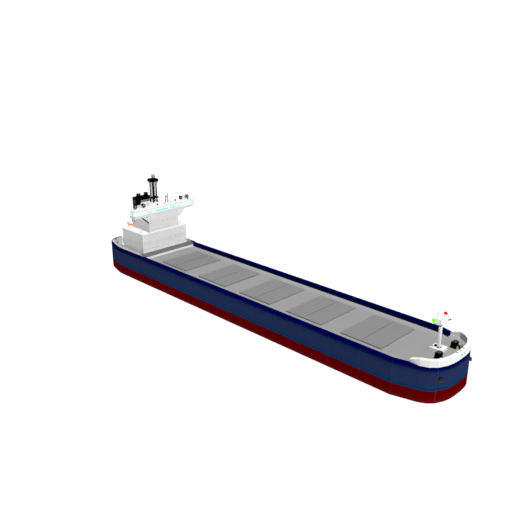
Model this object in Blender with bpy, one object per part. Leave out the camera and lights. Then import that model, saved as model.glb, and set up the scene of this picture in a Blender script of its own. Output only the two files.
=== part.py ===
"""Bulk carrier with five holds, a 1:10 scale model of a ship of about 178 m.

Metres, +Z up, bow at +X, port at +Y. The origin is on the bottom plating, amidships on the centreline.
"""

import math

import bmesh
import bpy
from mathutils import Matrix, Vector

GAP = 0.0003  # between neighbouring pieces

# Hull
HALF_BEAM = 1.56
DEPTH = 1.65  # main deck above the bottom
BILGE = 0.16
DOUBLE_BOTTOM = 0.18
SHELL = 0.06
HOPPER_TOP = 0.60
TOPSIDE_BOTTOM = 1.22
TOPSIDE_INNER = 1.56  # where the sloping tank bottom meets the deck opening
DECK_PLATE = 0.06
BILGE_STEPS = 4

# Hatches
HATCH_COUNT = 5
HATCH_PITCH = 2.472
MIDDLE_HATCH_X = 0.87
OPENING_LENGTH = 1.52
OPENING_HALF_WIDTH = 0.96
COAMING_HEIGHT = 0.02
COAMING_BAR = 0.045
COAMING_SEAT = 0.04  # outer face of the coaming beyond the deck opening, at its ends
COAMING_SEAT_SIDE = 0.025  # and at its sides
COVER_LENGTH = 1.637
COVER_HALF_WIDTH = 1.0
COVER_THICKNESS = 0.025
COVER_JOINT = 0.010  # gap between the two panels of a hatch
HINGE_SEAT_LAP = 0.01  # of a hinge seat into its coaming
HINGE_OFFSET = 0.008  # from a panel's end to its hinge axis
KNUCKLE_RADIUS = 0.0122
KNUCKLE_LENGTH = 0.10
HINGE_Y = 0.60
BULKHEAD = 0.08

# Bulwarks, poop and forecastle
BULWARK = 0.14
BULWARK_HEIGHT = 0.18
RIM_START_BOW = 7.38
RIM_START_STERN = -5.69
POOP_RIM = 0.05
POOP_RIM_LIP = 0.008  # above the poop deck
POOP_STEP = 0.10
POOP_HEIGHT = 0.20
POOP_SLOPE_END = -5.98
FOREDECK_START = 7.70
FOREDECK_FLAT = 7.84
FOREDECK_EDGE = 0.002  # thickness where the sloped break starts
BOW_BULWARK = 0.14
BOW_BULWARK_TOP = 2.05
BOW_BULWARK_AFT_TOP = 1.93

# Superstructure
HOUSE_AFT, HOUSE_FRONT, HOUSE_HALF, HOUSE_TOP = -7.53, -5.95, 1.24, 2.74
TOWER_AFT, TOWER_FRONT, TOWER_HALF, TOWER_TOP = -7.38, -5.98, 0.82, 3.56
BRIDGE_FRONT, WING_AFT, WING_HALF, BRIDGE_TOP = -5.83, -6.24, 1.65, 3.89
WHEELHOUSE_AFT, WHEELHOUSE_HALF = -7.03, 0.50
BRACKET_BOTTOM, BRACKET_REACH, BRACKET_DEPTH = 3.18, 1.25, 0.22
CASING_AFT, CASING_FRONT, CASING_HALF, CASING_TOP = -7.83, -7.55, 0.40, 3.63
FUNNEL_TOP = 4.00
UPTAKE_RADIUS, UPTAKE_TOP = 0.10, 4.14
UPTAKE_YS = (-0.15, 0.27)

# Masts
MAST_X, MAST_HALF, MAST_TOP = -6.68, 0.10, 4.97
MAST_LEG_RADIUS = 0.016
MAST_PLATFORM, MAST_PLATFORM_HEIGHT = 0.18, 0.12
MAST_STEP, MAST_STEP_HEIGHT = 0.15, 0.03
MAST_YARD, MAST_YARD_BOTTOM, MAST_YARD_HEIGHT = (0.13, 0.22), 4.10, 0.04
MAST_LANTERN_RADIUS, MAST_LANTERN_TOP = 0.065, 5.22
FOREMAST_X, FOREMAST_RADIUS = 8.07, 0.055
FOREMAST_PLATFORM, FOREMAST_PLATFORM_HEIGHT = 0.205, 0.09
HEAD_HALF_LENGTH, HEAD_HALF_WIDTH = 0.105, 0.24
HEAD_BOTTOM, HEAD_EAVES, HEAD_TOP = 2.77, 2.93, 3.07

# Deck gear: the fore and aft and the side distances of each pair, and its sizes
WINDLASS_X, WINDLASS_Y = 8.35, 0.495
WINDLASS_BED = (0.20, 0.24, 0.06)
DRUM_RADIUS, DRUM_WIDTH, DRUM_HEIGHT = 0.09, 0.22, 0.13
BOAT_X, BOAT_Y, BOAT_BOTTOM = -7.265, 1.00, 2.88
BOAT = (0.38, 0.18, 0.19)
BOAT_ROUNDING = 0.06
CRADLE = (0.24, 0.10)
ANCHOR = (0.13, 0.08, 0.12)
ANCHOR_X, ANCHOR_Z = 8.70, 1.39
STAIR_AFT, STAIR_FORE, STAIR_OUT, STAIR_IN = -7.75, -7.57, -1.20, -1.00
STAIR_LANDINGS = (2.25, 2.69)
STAIR_POST, STAIR_PLATE, STAIR_TOP = 0.024, 0.03, 2.71

# Underwater shapes on the centreline
BULB_MIDDLE, BULB_HALF_SIZES = (8.36, 0, 0.27), (0.49, 0.17, 0.21)
# Skeg: x, half thickness, top
SKEG = [(-5.60, 0.30, 0.20), (-6.40, 0.22, 0.30), (-7.10, 0.12, 0.45), (-7.70, 0.05, 0.605)]
STERN_BOSS_START, STERN_BOSS_RADIUS = -6.90, 0.13

# Propeller and rudder
SHAFT_Z = 0.30
BOSS_END = -7.78
BOSS_RADIUS = 0.085
HUB_LENGTH, HUB_RADIUS = 0.17, 0.062
PROPELLER_RADIUS = 0.25
BLADES = 5
BLADE_STEPS = 8
BLADE_ROOT = 0.2  # as a share of the propeller's radius
BLADE_CHORD, BLADE_PITCH, BLADE_THICKNESS = 0.13, 0.42, 0.009
BLADE_MIDDLE = -0.32  # along the hub, as a share of its length
RUDDER_AXIS_X = -8.20
RUDDER_FRONT, RUDDER_BACK = -8.09, -8.52
RUDDER_BOTTOM, RUDDER_TOP = 0.05, 0.56
RUDDER_HALF_THICKNESS = 0.035
COUNTER = 0.585  # underside of the stern above the propeller

MIDDLE = (HATCH_COUNT - 1) / 2
HATCH_X = [MIDDLE_HATCH_X + (i - MIDDLE) * HATCH_PITCH for i in range(HATCH_COUNT)]
HOLD_AFT = HATCH_X[0] - OPENING_LENGTH / 2
HOLD_FORE = HATCH_X[-1] + OPENING_LENGTH / 2
FOREDECK_TOP = DEPTH + BULWARK_HEIGHT
POOP_TOP = DEPTH + POOP_HEIGHT

# Half outlines of the hull at and above the waterline: x, half breadth
BOW_OUTLINE = [
    (7.38, 1.56), (7.80, 1.45), (8.22, 1.34), (8.46, 1.217),
    (8.655, 1.026), (8.79, 0.73), (8.85, 0.48), (8.872, 0.20),
]
STERN_OUTLINE = [(-7.43, 1.56), (-7.73, 1.50), (-8.23, 1.37), (-8.58, 1.25), (-8.83, 1.02), (-8.93, 0.72)]

# Stations: x, half breadth, rise of the bottom, half width of the flat bottom, height of the bilge curve
FORE_STATIONS = [
    (HOLD_FORE + GAP, 1.56, 0.00, 1.40, 0.16),
    (7.00, 1.56, 0.00, 1.22, 0.30),
    (7.38, 1.56, 0.00, 0.95, 0.48),
    (7.80, 1.45, 0.02, 0.45, 0.57),
    (8.22, 1.34, 0.10, 0.18, 0.49),
    (8.46, 1.217, 0.20, 0.10, 0.39),
    (8.655, 1.026, 0.34, 0.07, 0.25),
    (8.79, 0.73, 0.46, 0.05, 0.13),
    (8.85, 0.48, 0.51, 0.04, 0.08),
    (8.872, 0.20, 0.55, 0.03, 0.04),
]
AFT_STATIONS = [
    (-8.93, 0.72, COUNTER + 0.010, 0.60, 0.005),
    (-8.83, 1.02, COUNTER + 0.005, 0.90, 0.008),
    (-8.58, 1.25, COUNTER, 1.10, 0.012),
    (-8.23, 1.37, COUNTER, 1.20, 0.012),
    (-7.73, 1.50, COUNTER, 1.20, 0.012),
    (-7.43, 1.56, 0.45, 0.80, 0.14),
    (-7.00, 1.56, 0.26, 0.75, 0.32),
    (-6.50, 1.56, 0.09, 0.90, 0.42),
    (-5.90, 1.56, 0.00, 1.15, 0.32),
    (HOLD_AFT - GAP, 1.56, 0.00, 1.40, 0.16),
]

# Colours: name, red, green, blue, metallic, roughness
FINISHES = {
    "hull_blue": (0.013, 0.021, 0.067, 0.0, 0.45),
    "antifouling_red": (0.084, 0.0, 0.0, 0.0, 0.6),
    "deck_grey": (0.36, 0.36, 0.36, 0.0, 0.7),
    "hatch_grey": (0.26, 0.26, 0.26, 0.0, 0.65),
    "house_white": (0.80, 0.80, 0.80, 0.0, 0.5),
    "black_paint": (0.01, 0.01, 0.01, 0.0, 0.5),
    "anchor_brown": (0.10, 0.08, 0.0, 0.2, 0.6),
    "boat_orange": (0.93, 0.23, 0.0, 0.0, 0.4),
    "bronze": (0.55, 0.34, 0.10, 1.0, 0.3),
}


def clear_scene():
    for obj in list(bpy.data.objects):
        bpy.data.objects.remove(obj, do_unlink=True)


def collection(name, parent):
    made = bpy.data.collections.new(name)
    parent.children.link(made)
    return made


def finish_for(node, finish):
    """A material of the node's own, in one of the ship's finishes."""
    red, green, blue, metallic, roughness = FINISHES[finish]
    material = bpy.data.materials.new(f"{node}_{finish}")
    material.use_nodes = True
    shader = material.node_tree.nodes["Principled BSDF"]
    shader.inputs["Base Color"].default_value = (red, green, blue, 1.0)
    shader.inputs["Metallic"].default_value = metallic
    shader.inputs["Roughness"].default_value = roughness
    return material


def add_object(name, bm, finish, group):
    """Puts the bmesh into a named object with its own material."""
    bmesh.ops.recalc_face_normals(bm, faces=bm.faces)
    mesh = bpy.data.meshes.new(name)
    bm.to_mesh(mesh)
    bm.free()
    obj = bpy.data.objects.new(name, mesh)
    group.objects.link(obj)
    if finish:
        mesh.materials.append(finish_for(name, finish))
    return obj


def add_box(bm, low, high):
    """A box from its lowest to its highest corner."""
    size = [b - a for a, b in zip(low, high)]
    middle = [(a + b) / 2 for a, b in zip(low, high)]
    place = Matrix.Translation(middle) @ Matrix.Diagonal((*size, 1.0))
    return bmesh.ops.create_cube(bm, size=1.0, matrix=place)["verts"]


def add_rod(bm, start, end, radius, end_radius=None, segments=16):
    """A round bar or cone between two points."""
    start, end = Vector(start), Vector(end)
    run = end - start
    place = Matrix.Translation((start + end) / 2) @ run.to_track_quat("Z", "Y").to_matrix().to_4x4()
    tip = radius if end_radius is None else end_radius
    bmesh.ops.create_cone(
        bm, cap_ends=True, segments=segments, radius1=radius, radius2=tip, depth=run.length, matrix=place
    )


def box(name, low, high, finish, group):
    bm = bmesh.new()
    add_box(bm, low, high)
    return add_object(name, bm, finish, group)


def loft(rings):
    """A bmesh skinned over rings of equal point counts, with its two ends filled."""
    bm = bmesh.new()
    rows = [[bm.verts.new(point) for point in ring] for ring in rings]
    for row, after in zip(rows, rows[1:]):
        for i in range(len(row)):
            j = (i + 1) % len(row)
            bm.faces.new((row[i], row[j], after[j], after[i]))
    bm.faces.new(rows[0])
    bm.faces.new(rows[-1])
    return bm


def turned_x(profile, segments=20):
    """A round solid about the X axis, from a profile of (x, radius)."""
    turns = [2 * math.pi * i / segments for i in range(segments)]
    return loft([[(x, r * math.cos(a), r * math.sin(a)) for a in turns] for x, r in profile])


def prism_x(section, aft, fore):
    """A (y, z) section carried along X."""
    return loft([[(x, y, z) for y, z in section] for x in (aft, fore)])


def join(target, tool, operation, group):
    """Joins or cuts with the Boolean modifier; the tool goes to the helpers' collection."""
    tool.hide_render = True
    tool.display_type = "WIRE"
    for user in list(tool.users_collection):
        user.objects.unlink(tool)
    group.objects.link(tool)
    modifier = target.modifiers.new(operation.lower(), "BOOLEAN")
    modifier.operation = operation
    modifier.solver = "EXACT"
    modifier.object = tool


def station_ring(x, half, rise, flat, bilge, top=DEPTH):
    """One hull section: flat bottom, elliptical bilge, upright side and deck."""
    side = []
    for step in range(BILGE_STEPS + 1):
        angle = math.pi / 2 * step / BILGE_STEPS
        side.append((flat + (half - flat) * math.sin(angle), rise + bilge * (1 - math.cos(angle))))
    side.append((half, top))
    ring = [(x, y, z) for y, z in side]
    return ring + [(x, -y, z) for y, z in reversed(side)]


def offset_inwards(outline, distance):
    """The open outline of (x, y) points moved inwards by a mitred distance, its ends cut square to X."""
    moved = []
    for i, point in enumerate(outline):
        here = Vector(point)
        normals = []
        for a, b in ((i - 1, i), (i, i + 1)):
            if 0 <= a and b < len(outline):
                run = Vector(outline[b]) - Vector(outline[a])
                normals.append(Vector((-run.y, run.x)).normalized())
        if len(normals) == 1:
            moved.append(here + Vector((0.0, distance / normals[0].y)))
            continue
        mean = (normals[0] + normals[1]).normalized()
        moved.append(here + mean * (distance / mean.dot(normals[0])))
    return [tuple(point) for point in moved]


def curved_bar(name, outline, width, bottom, tops, finish, group):
    """A bar that follows an open outline, anticlockwise, with a top height at each point."""
    inner = offset_inwards(outline, width)
    rings = []
    for outside, inside, top in zip(outline, inner, tops):
        rings.append([(*outside, bottom), (*outside, top), (*inside, top), (*inside, bottom)])
    return add_object(name, loft(rings), finish, group)


def both_sides(half_outline):
    """An outline from starboard round to port from its port half, given from amidships outwards."""
    return [(x, -y) for x, y in half_outline] + [(x, y) for x, y in reversed(half_outline)]


def build_hull(group, helpers):
    """The cargo section as its tanks, sides and bulkheads, and the solid bow and stern."""
    bottom = [(y, z) for _, y, z in station_ring(0, HALF_BEAM, 0, HALF_BEAM - BILGE, BILGE, DOUBLE_BOTTOM)]
    add_object("double_bottom", prism_x(bottom, HOLD_AFT, HOLD_FORE), "antifouling_red", group)

    inner = HALF_BEAM - SHELL
    # piece, section as (distance from the centreline, height), finish
    wing_pieces = [
        (
            "hopper_tank",
            [(OPENING_HALF_WIDTH, DOUBLE_BOTTOM + GAP), (HALF_BEAM, DOUBLE_BOTTOM + GAP),
             (HALF_BEAM, HOPPER_TOP), (inner, HOPPER_TOP)],
            "antifouling_red",
        ),
        (
            "side_shell",
            [(inner, HOPPER_TOP + GAP), (HALF_BEAM, HOPPER_TOP + GAP),
             (HALF_BEAM, TOPSIDE_BOTTOM), (inner, TOPSIDE_BOTTOM)],
            "hull_blue",
        ),
        (
            "topside_tank",
            [(inner, TOPSIDE_BOTTOM + GAP), (HALF_BEAM, TOPSIDE_BOTTOM + GAP), (HALF_BEAM, DEPTH),
             (OPENING_HALF_WIDTH, DEPTH), (OPENING_HALF_WIDTH, TOPSIDE_INNER)],
            "deck_grey",
        ),
    ]
    for piece, section, finish in wing_pieces:
        for side, sign in (("starboard", -1), ("port", 1)):
            placed = [(sign * y, z) for y, z in section]
            add_object(f"{piece}_{side}", prism_x(placed, HOLD_AFT, HOLD_FORE), finish, group)

    half_hold = [
        (OPENING_HALF_WIDTH, DOUBLE_BOTTOM), (inner, HOPPER_TOP), (inner, TOPSIDE_BOTTOM),
        (OPENING_HALF_WIDTH, TOPSIDE_INNER), (OPENING_HALF_WIDTH, DEPTH),
    ]
    plate = [(y - 2 * GAP, z + 2 * GAP if z < 1 else z - 2 * GAP) for y, z in half_hold]
    plate[-1] = (plate[-1][0], DEPTH - DECK_PLATE / 2)
    section = plate + [(-y, z) for y, z in reversed(plate)]
    for i, (aft, fore) in enumerate(zip(HATCH_X, HATCH_X[1:]), start=1):
        middle = (aft + fore) / 2
        wall = prism_x(section, middle - BULKHEAD / 2, middle + BULKHEAD / 2)
        bulkhead = add_object(f"bulkhead_{i}", wall, "deck_grey", group)
        reach = (HATCH_PITCH - OPENING_LENGTH) / 2
        edge = OPENING_HALF_WIDTH - GAP
        low, high = (middle - reach, -edge, DEPTH - DECK_PLATE), (middle + reach, edge, DEPTH)
        strip = box(f"cross_deck_{i}", low, high, None, helpers)
        join(bulkhead, strip, "UNION", helpers)


def build_fore_body(group, helpers):
    body = add_object("fore_body", loft([station_ring(*row) for row in FORE_STATIONS]), "hull_blue", group)
    bm = bmesh.new()
    place = Matrix.Translation(BULB_MIDDLE) @ Matrix.Diagonal((*BULB_HALF_SIZES, 1.0))
    bmesh.ops.create_uvsphere(bm, u_segments=20, v_segments=12, radius=1.0, matrix=place)
    join(body, add_object("bulb", bm, None, helpers), "UNION", helpers)


def build_aft_body(group, helpers):
    body = add_object("aft_body", loft([station_ring(*row) for row in AFT_STATIONS]), "hull_blue", group)
    rings = [[(x, -half, 0.0), (x, half, 0.0), (x, half, top), (x, -half, top)] for x, half, top in SKEG]
    join(body, add_object("skeg", loft(rings), None, helpers), "UNION", helpers)
    bm = bmesh.new()
    add_rod(bm, (STERN_BOSS_START, 0, SHAFT_Z), (BOSS_END, 0, SHAFT_Z), STERN_BOSS_RADIUS, BOSS_RADIUS, 20)
    join(body, add_object("stern_boss", bm, None, helpers), "UNION", helpers)


def build_bulwarks(group):
    for side, sign in (("starboard", -1), ("port", 1)):
        edges = sorted((sign * (HALF_BEAM - BULWARK), sign * HALF_BEAM))
        box(
            f"bulwark_{side}",
            (RIM_START_STERN + GAP, edges[0], DEPTH + GAP),
            (RIM_START_BOW - GAP, edges[1], FOREDECK_TOP),
            "hull_blue",
            group,
        )


def build_poop(group):
    half = [(RIM_START_STERN, HALF_BEAM)] + STERN_OUTLINE
    outline = [(x, y) for x, y in half] + [(x, -y) for x, y in reversed(half)]
    tops = [POOP_TOP + POOP_RIM_LIP] * len(outline)
    curved_bar("poop_bulwark", outline, POOP_RIM, DEPTH + GAP, tops, "hull_blue", group)
    inside = offset_inwards(outline, POOP_RIM + GAP)[: len(half)]
    rows = [(inside[0][0], inside[0][1], DEPTH + POOP_STEP), (POOP_SLOPE_END, inside[0][1], POOP_TOP)]
    rows += [(x, y, POOP_TOP) for x, y in inside[1:]]
    low = DEPTH + GAP
    rings = [[(x, -y, low), (x, y, low), (x, y, top), (x, -y, top)] for x, y, top in rows]
    add_object("poop_deck", loft(rings), "deck_grey", group)


def build_forecastle(group):
    outline = both_sides(BOW_OUTLINE)
    tops = [FOREDECK_TOP] * len(outline)
    curved_bar("forecastle_side", outline, BULWARK, DEPTH + GAP, tops, "hull_blue", group)

    inside = offset_inwards(outline, BULWARK + GAP)[: len(BOW_OUTLINE)]
    widths = [(x, -y) for x, y in inside]

    def half_at(x):
        for (x0, y0), (x1, y1) in zip(widths, widths[1:]):
            if x0 <= x <= x1:
                return y0 + (y1 - y0) * (x - x0) / (x1 - x0)
        return widths[-1][1]

    low = DEPTH + GAP
    rows = [(FOREDECK_START, half_at(FOREDECK_START), low + FOREDECK_EDGE)]
    rows.append((FOREDECK_FLAT, half_at(FOREDECK_FLAT), FOREDECK_TOP))
    rows += [(x, y, FOREDECK_TOP) for x, y in widths if x > FOREDECK_FLAT]
    rings = [[(x, -y, low), (x, y, low), (x, y, top), (x, -y, top)] for x, y, top in rows]
    add_object("foredeck", loft(rings), "deck_grey", group)

    half = [(FOREDECK_FLAT, 1.325), (8.20, 1.335)] + BOW_OUTLINE[3:]
    rise = [BOW_BULWARK_AFT_TOP] + [BOW_BULWARK_TOP] * (len(half) - 1)
    tops = rise + rise[::-1]
    curved_bar("bow_bulwark", both_sides(half), BOW_BULWARK, FOREDECK_TOP + GAP, tops, "house_white", group)


def build_hatches(group, helpers):
    """For each hold a coaming and two cover panels, hinged at the ends of the hatch."""
    seat = DEPTH + COAMING_HEIGHT
    outer_x = OPENING_LENGTH / 2 + COAMING_SEAT
    outer_y = OPENING_HALF_WIDTH + COAMING_SEAT_SIDE
    bar_x, bar_y = outer_x - COAMING_BAR, outer_y - COAMING_BAR
    axis = COVER_LENGTH / 2 + HINGE_OFFSET
    for number, centre in enumerate(HATCH_X, start=1):
        low, high = (centre - outer_x, -outer_y, DEPTH + GAP), (centre + outer_x, outer_y, seat)
        coaming = box(f"coaming_{number}", low, high, "hatch_grey", group)
        for end in (-1, 1):
            for side in (-1, 1):
                inner = centre + end * (outer_x - HINGE_SEAT_LAP)
                xs = sorted((inner, centre + end * (axis + KNUCKLE_RADIUS)))
                ys = (side * HINGE_Y - KNUCKLE_LENGTH / 2, side * HINGE_Y + KNUCKLE_LENGTH / 2)
                low, high = (xs[0], ys[0], DEPTH + GAP), (xs[1], ys[1], seat)
                tab = box(f"hinge_seat_{number}_{end}_{side}", low, high, None, helpers)
                join(coaming, tab, "UNION", helpers)
        low, high = (centre - bar_x, -bar_y, DEPTH - 0.1), (centre + bar_x, bar_y, DEPTH + 0.1)
        join(coaming, box(f"hatchway_{number}", low, high, None, helpers), "DIFFERENCE", helpers)
        for end, sign in (("aft", -1), ("fore", 1)):
            place = (centre + sign * axis, 0, seat + GAP + COVER_THICKNESS / 2)
            build_cover(f"hatch_{number}_{end}_cover", sign, place, group, helpers)


def build_cover(name, sign, place, group, helpers):
    """One panel of a hatch, with its two hinge knuckles. Its origin is on the hinge axis."""
    axis = COVER_LENGTH / 2 + HINGE_OFFSET
    xs = sorted((sign * (COVER_JOINT / 2 - axis), sign * (COVER_LENGTH / 2 - axis)))
    bm = bmesh.new()
    half_width, half_height = COVER_HALF_WIDTH, COVER_THICKNESS / 2
    add_box(bm, (xs[0], -half_width, -half_height), (xs[1], half_width, half_height))
    panel = add_object(name, bm, "hatch_grey", group)
    panel.location = place
    half = KNUCKLE_LENGTH / 2 - 0.005
    for side in (-1, 1):
        bm = bmesh.new()
        y = side * HINGE_Y
        add_rod(bm, (0, y - half, 0), (0, y + half, 0), KNUCKLE_RADIUS)
        knuckle = add_object(f"{name}_knuckle_{side}", bm, None, helpers)
        knuckle.location = place
        join(panel, knuckle, "UNION", helpers)


def build_superstructure(group, helpers):
    low, high = (HOUSE_AFT, -HOUSE_HALF, POOP_TOP + GAP), (HOUSE_FRONT, HOUSE_HALF, HOUSE_TOP)
    box("deckhouse", low, high, "house_white", group)
    low, high = (TOWER_AFT, -TOWER_HALF, HOUSE_TOP + GAP), (TOWER_FRONT, TOWER_HALF, TOWER_TOP)
    box("accommodation_tower", low, high, "house_white", group)

    floor = TOWER_TOP + GAP
    low, high = (WING_AFT, -WING_HALF, floor), (BRIDGE_FRONT, WING_HALF, BRIDGE_TOP)
    bridge = box("bridge", low, high, "house_white", group)
    low, high = (WHEELHOUSE_AFT, -WHEELHOUSE_HALF, floor), (WING_AFT + 0.1, WHEELHOUSE_HALF, BRIDGE_TOP)
    join(bridge, box("wheelhouse", low, high, None, helpers), "UNION", helpers)
    for side, sign in (("starboard", -1), ("port", 1)):
        root = sign * (TOWER_HALF + GAP)
        section = [(root, BRACKET_BOTTOM), (root, TOWER_TOP), (sign * BRACKET_REACH, TOWER_TOP)]
        bracket = prism_x(section, TOWER_FRONT - BRACKET_DEPTH, TOWER_FRONT)
        add_object(f"wing_bracket_{side}", bracket, "house_white", group)

    low, high = (CASING_AFT, -CASING_HALF, POOP_TOP + GAP), (CASING_FRONT, CASING_HALF, CASING_TOP)
    box("engine_casing", low, high, "house_white", group)
    low, high = (CASING_AFT, -CASING_HALF, CASING_TOP + GAP), (CASING_FRONT, CASING_HALF, FUNNEL_TOP)
    funnel = box("funnel", low, high, "black_paint", group)
    for i, y in enumerate(UPTAKE_YS):
        bm = bmesh.new()
        x = (CASING_AFT + CASING_FRONT) / 2
        add_rod(bm, (x, y, FUNNEL_TOP - 0.05), (x, y, UPTAKE_TOP), UPTAKE_RADIUS)
        join(funnel, add_object(f"uptake_{i}", bm, None, helpers), "UNION", helpers)


def mast_box(name, half_x, half_y, low, high, group, finish=None):
    """A box about the radar mast's axis."""
    return box(name, (MAST_X - half_x, -half_y, low), (MAST_X + half_x, half_y, high), finish, group)


def build_radar_mast(group, helpers):
    """Four legs with platforms, on the wheelhouse roof."""
    foot = BRIDGE_TOP + GAP
    low, half = MAST_TOP - MAST_PLATFORM_HEIGHT, MAST_PLATFORM
    mast = mast_box("radar_mast", half, half, low, MAST_TOP, group, "black_paint")
    step = mast_box("mast_step", MAST_STEP, MAST_STEP, foot, foot + MAST_STEP_HEIGHT, helpers)
    join(mast, step, "UNION", helpers)
    top = MAST_YARD_BOTTOM + MAST_YARD_HEIGHT
    join(mast, mast_box("mast_yard", *MAST_YARD, MAST_YARD_BOTTOM, top, helpers), "UNION", helpers)
    for i, (dx, dy) in enumerate(((-1, -1), (1, -1), (1, 1), (-1, 1))):
        bm = bmesh.new()
        x, y = MAST_X + dx * MAST_HALF, dy * MAST_HALF
        add_rod(bm, (x, y, foot + 0.01), (x, y, MAST_TOP - 0.05), MAST_LEG_RADIUS, segments=8)
        join(mast, add_object(f"mast_leg_{i}", bm, None, helpers), "UNION", helpers)
    bm = bmesh.new()
    add_rod(bm, (MAST_X, 0, MAST_TOP - 0.02), (MAST_X, 0, MAST_LANTERN_TOP), MAST_LANTERN_RADIUS)
    join(mast, add_object("mast_lantern", bm, None, helpers), "UNION", helpers)


def build_foremast(group, helpers):
    """A post on its platform, with a gabled head."""
    foot = FOREDECK_TOP + GAP
    top = foot + FOREMAST_PLATFORM_HEIGHT
    reach = FOREMAST_PLATFORM
    low, high = (FOREMAST_X - reach, -reach, foot), (FOREMAST_X + reach, reach, top)
    box("foremast_platform", low, high, "house_white", group)
    bm = bmesh.new()
    add_rod(bm, (FOREMAST_X, 0, top + GAP), (FOREMAST_X, 0, HEAD_BOTTOM + 0.02), FOREMAST_RADIUS)
    mast = add_object("foremast", bm, "house_white", group)
    gable = [
        (-HEAD_HALF_WIDTH, HEAD_BOTTOM), (HEAD_HALF_WIDTH, HEAD_BOTTOM), (HEAD_HALF_WIDTH, HEAD_EAVES),
        (0.0, HEAD_TOP), (-HEAD_HALF_WIDTH, HEAD_EAVES),
    ]
    head = prism_x(gable, FOREMAST_X - HEAD_HALF_LENGTH, FOREMAST_X + HEAD_HALF_LENGTH)
    join(mast, add_object("foremast_head", head, None, helpers), "UNION", helpers)


def build_windlass(side, sign, group, helpers):
    foot = FOREDECK_TOP + GAP
    length, width, height = WINDLASS_BED
    x, y = WINDLASS_X, sign * WINDLASS_Y
    low, high = (x - length / 2, y - width / 2, foot), (x + length / 2, y + width / 2, foot + height)
    windlass = box(f"windlass_{side}", low, high, "black_paint", group)
    bm = bmesh.new()
    axis = foot + DRUM_HEIGHT
    add_rod(bm, (x, y - DRUM_WIDTH / 2, axis), (x, y + DRUM_WIDTH / 2, axis), DRUM_RADIUS)
    join(windlass, add_object(f"drum_{side}", bm, None, helpers), "UNION", helpers)


def build_lifeboat(side, sign, group, helpers):
    """A boat lying fore and aft on its cradle on the house roof."""
    length, width, height = BOAT
    bm = bmesh.new()
    add_box(bm, (-length / 2, -width / 2, 0.0), (length / 2, width / 2, height))
    rounding = {"offset": BOAT_ROUNDING, "segments": 2, "profile": 0.5}
    bmesh.ops.bevel(bm, geom=bm.edges[:], affect="EDGES", clamp_overlap=True, **rounding)
    boat = add_object(f"lifeboat_{side}", bm, "boat_orange", group)
    boat.location = (BOAT_X, sign * BOAT_Y, BOAT_BOTTOM)
    long, wide = CRADLE
    low = (BOAT_X - long / 2, sign * BOAT_Y - wide / 2, HOUSE_TOP + GAP)
    high = (BOAT_X + long / 2, sign * BOAT_Y + wide / 2, BOAT_BOTTOM + height / 3)
    join(boat, box(f"cradle_{side}", low, high, None, helpers), "UNION", helpers)


def build_anchor(side, sign, group):
    """A stowed anchor, flat against the bow facet that ends at the stem."""
    start, end = [Vector((x, sign * y, 0)) for x, y in BOW_OUTLINE[4:6]]
    along = (end - start).normalized()
    out = Vector((-along.y * sign, along.x * sign, 0))
    share = (ANCHOR_X - start.x) / (end.x - start.x)
    middle = start.lerp(end, share) + out * (ANCHOR[1] / 2 + GAP)
    bm = bmesh.new()
    bmesh.ops.create_cube(bm, size=1.0, matrix=Matrix.Diagonal((*ANCHOR, 1.0)))
    anchor = add_object(f"anchor_{side}", bm, "anchor_brown", group)
    turn = Matrix((along, out, Vector((0, 0, 1)))).transposed().to_4x4()
    anchor.matrix_world = Matrix.Translation((middle.x, middle.y, ANCHOR_Z)) @ turn


def build_deck_gear(group, helpers):
    for side, sign in (("starboard", -1), ("port", 1)):
        build_windlass(side, sign, group, helpers)
        build_lifeboat(side, sign, group, helpers)
        build_anchor(side, sign, group)


def blade():
    """One blade, standing up from the shaft line: its chord and twist follow formulas of the radius."""
    rings = []
    for step in range(BLADE_STEPS + 1):
        share = BLADE_ROOT + (1 - BLADE_ROOT) * step / BLADE_STEPS
        radius = share * PROPELLER_RADIUS
        twist = math.atan2(BLADE_PITCH / (2 * math.pi), radius)
        chord = BLADE_CHORD * math.sqrt(max(0.12, 1 - ((share - 0.6) / 0.5) ** 2))
        lead = Vector((math.sin(twist), math.cos(twist), 0)) * chord / 2
        face = Vector((math.cos(twist), -math.sin(twist), 0)) * BLADE_THICKNESS / 2
        middle = Vector((BLADE_MIDDLE * HUB_LENGTH, 0, radius))
        rings.append([middle + lead * a + face * b for a, b in ((-1, -1), (1, -1), (1, 1), (-1, 1))])
    return loft(rings)


def build_propeller(group, helpers):
    """The propeller's origin is on the shaft line, at the fore end of its hub."""
    profile = [(0, HUB_RADIUS), (-0.6 * HUB_LENGTH, HUB_RADIUS), (-0.85 * HUB_LENGTH, 0.75 * HUB_RADIUS)]
    profile.append((-HUB_LENGTH, 0.25 * HUB_RADIUS))
    hub = add_object("propeller", turned_x(profile), "bronze", group)
    hub.location = (BOSS_END - GAP, 0, SHAFT_Z)
    for i in range(BLADES):
        bm = blade()
        turn = Matrix.Rotation(2 * math.pi * i / BLADES, 4, "X")
        bmesh.ops.transform(bm, matrix=turn, verts=bm.verts)
        tool = add_object(f"blade_{i}", bm, None, helpers)
        tool.location = hub.location
        join(hub, tool, "UNION", helpers)


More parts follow.
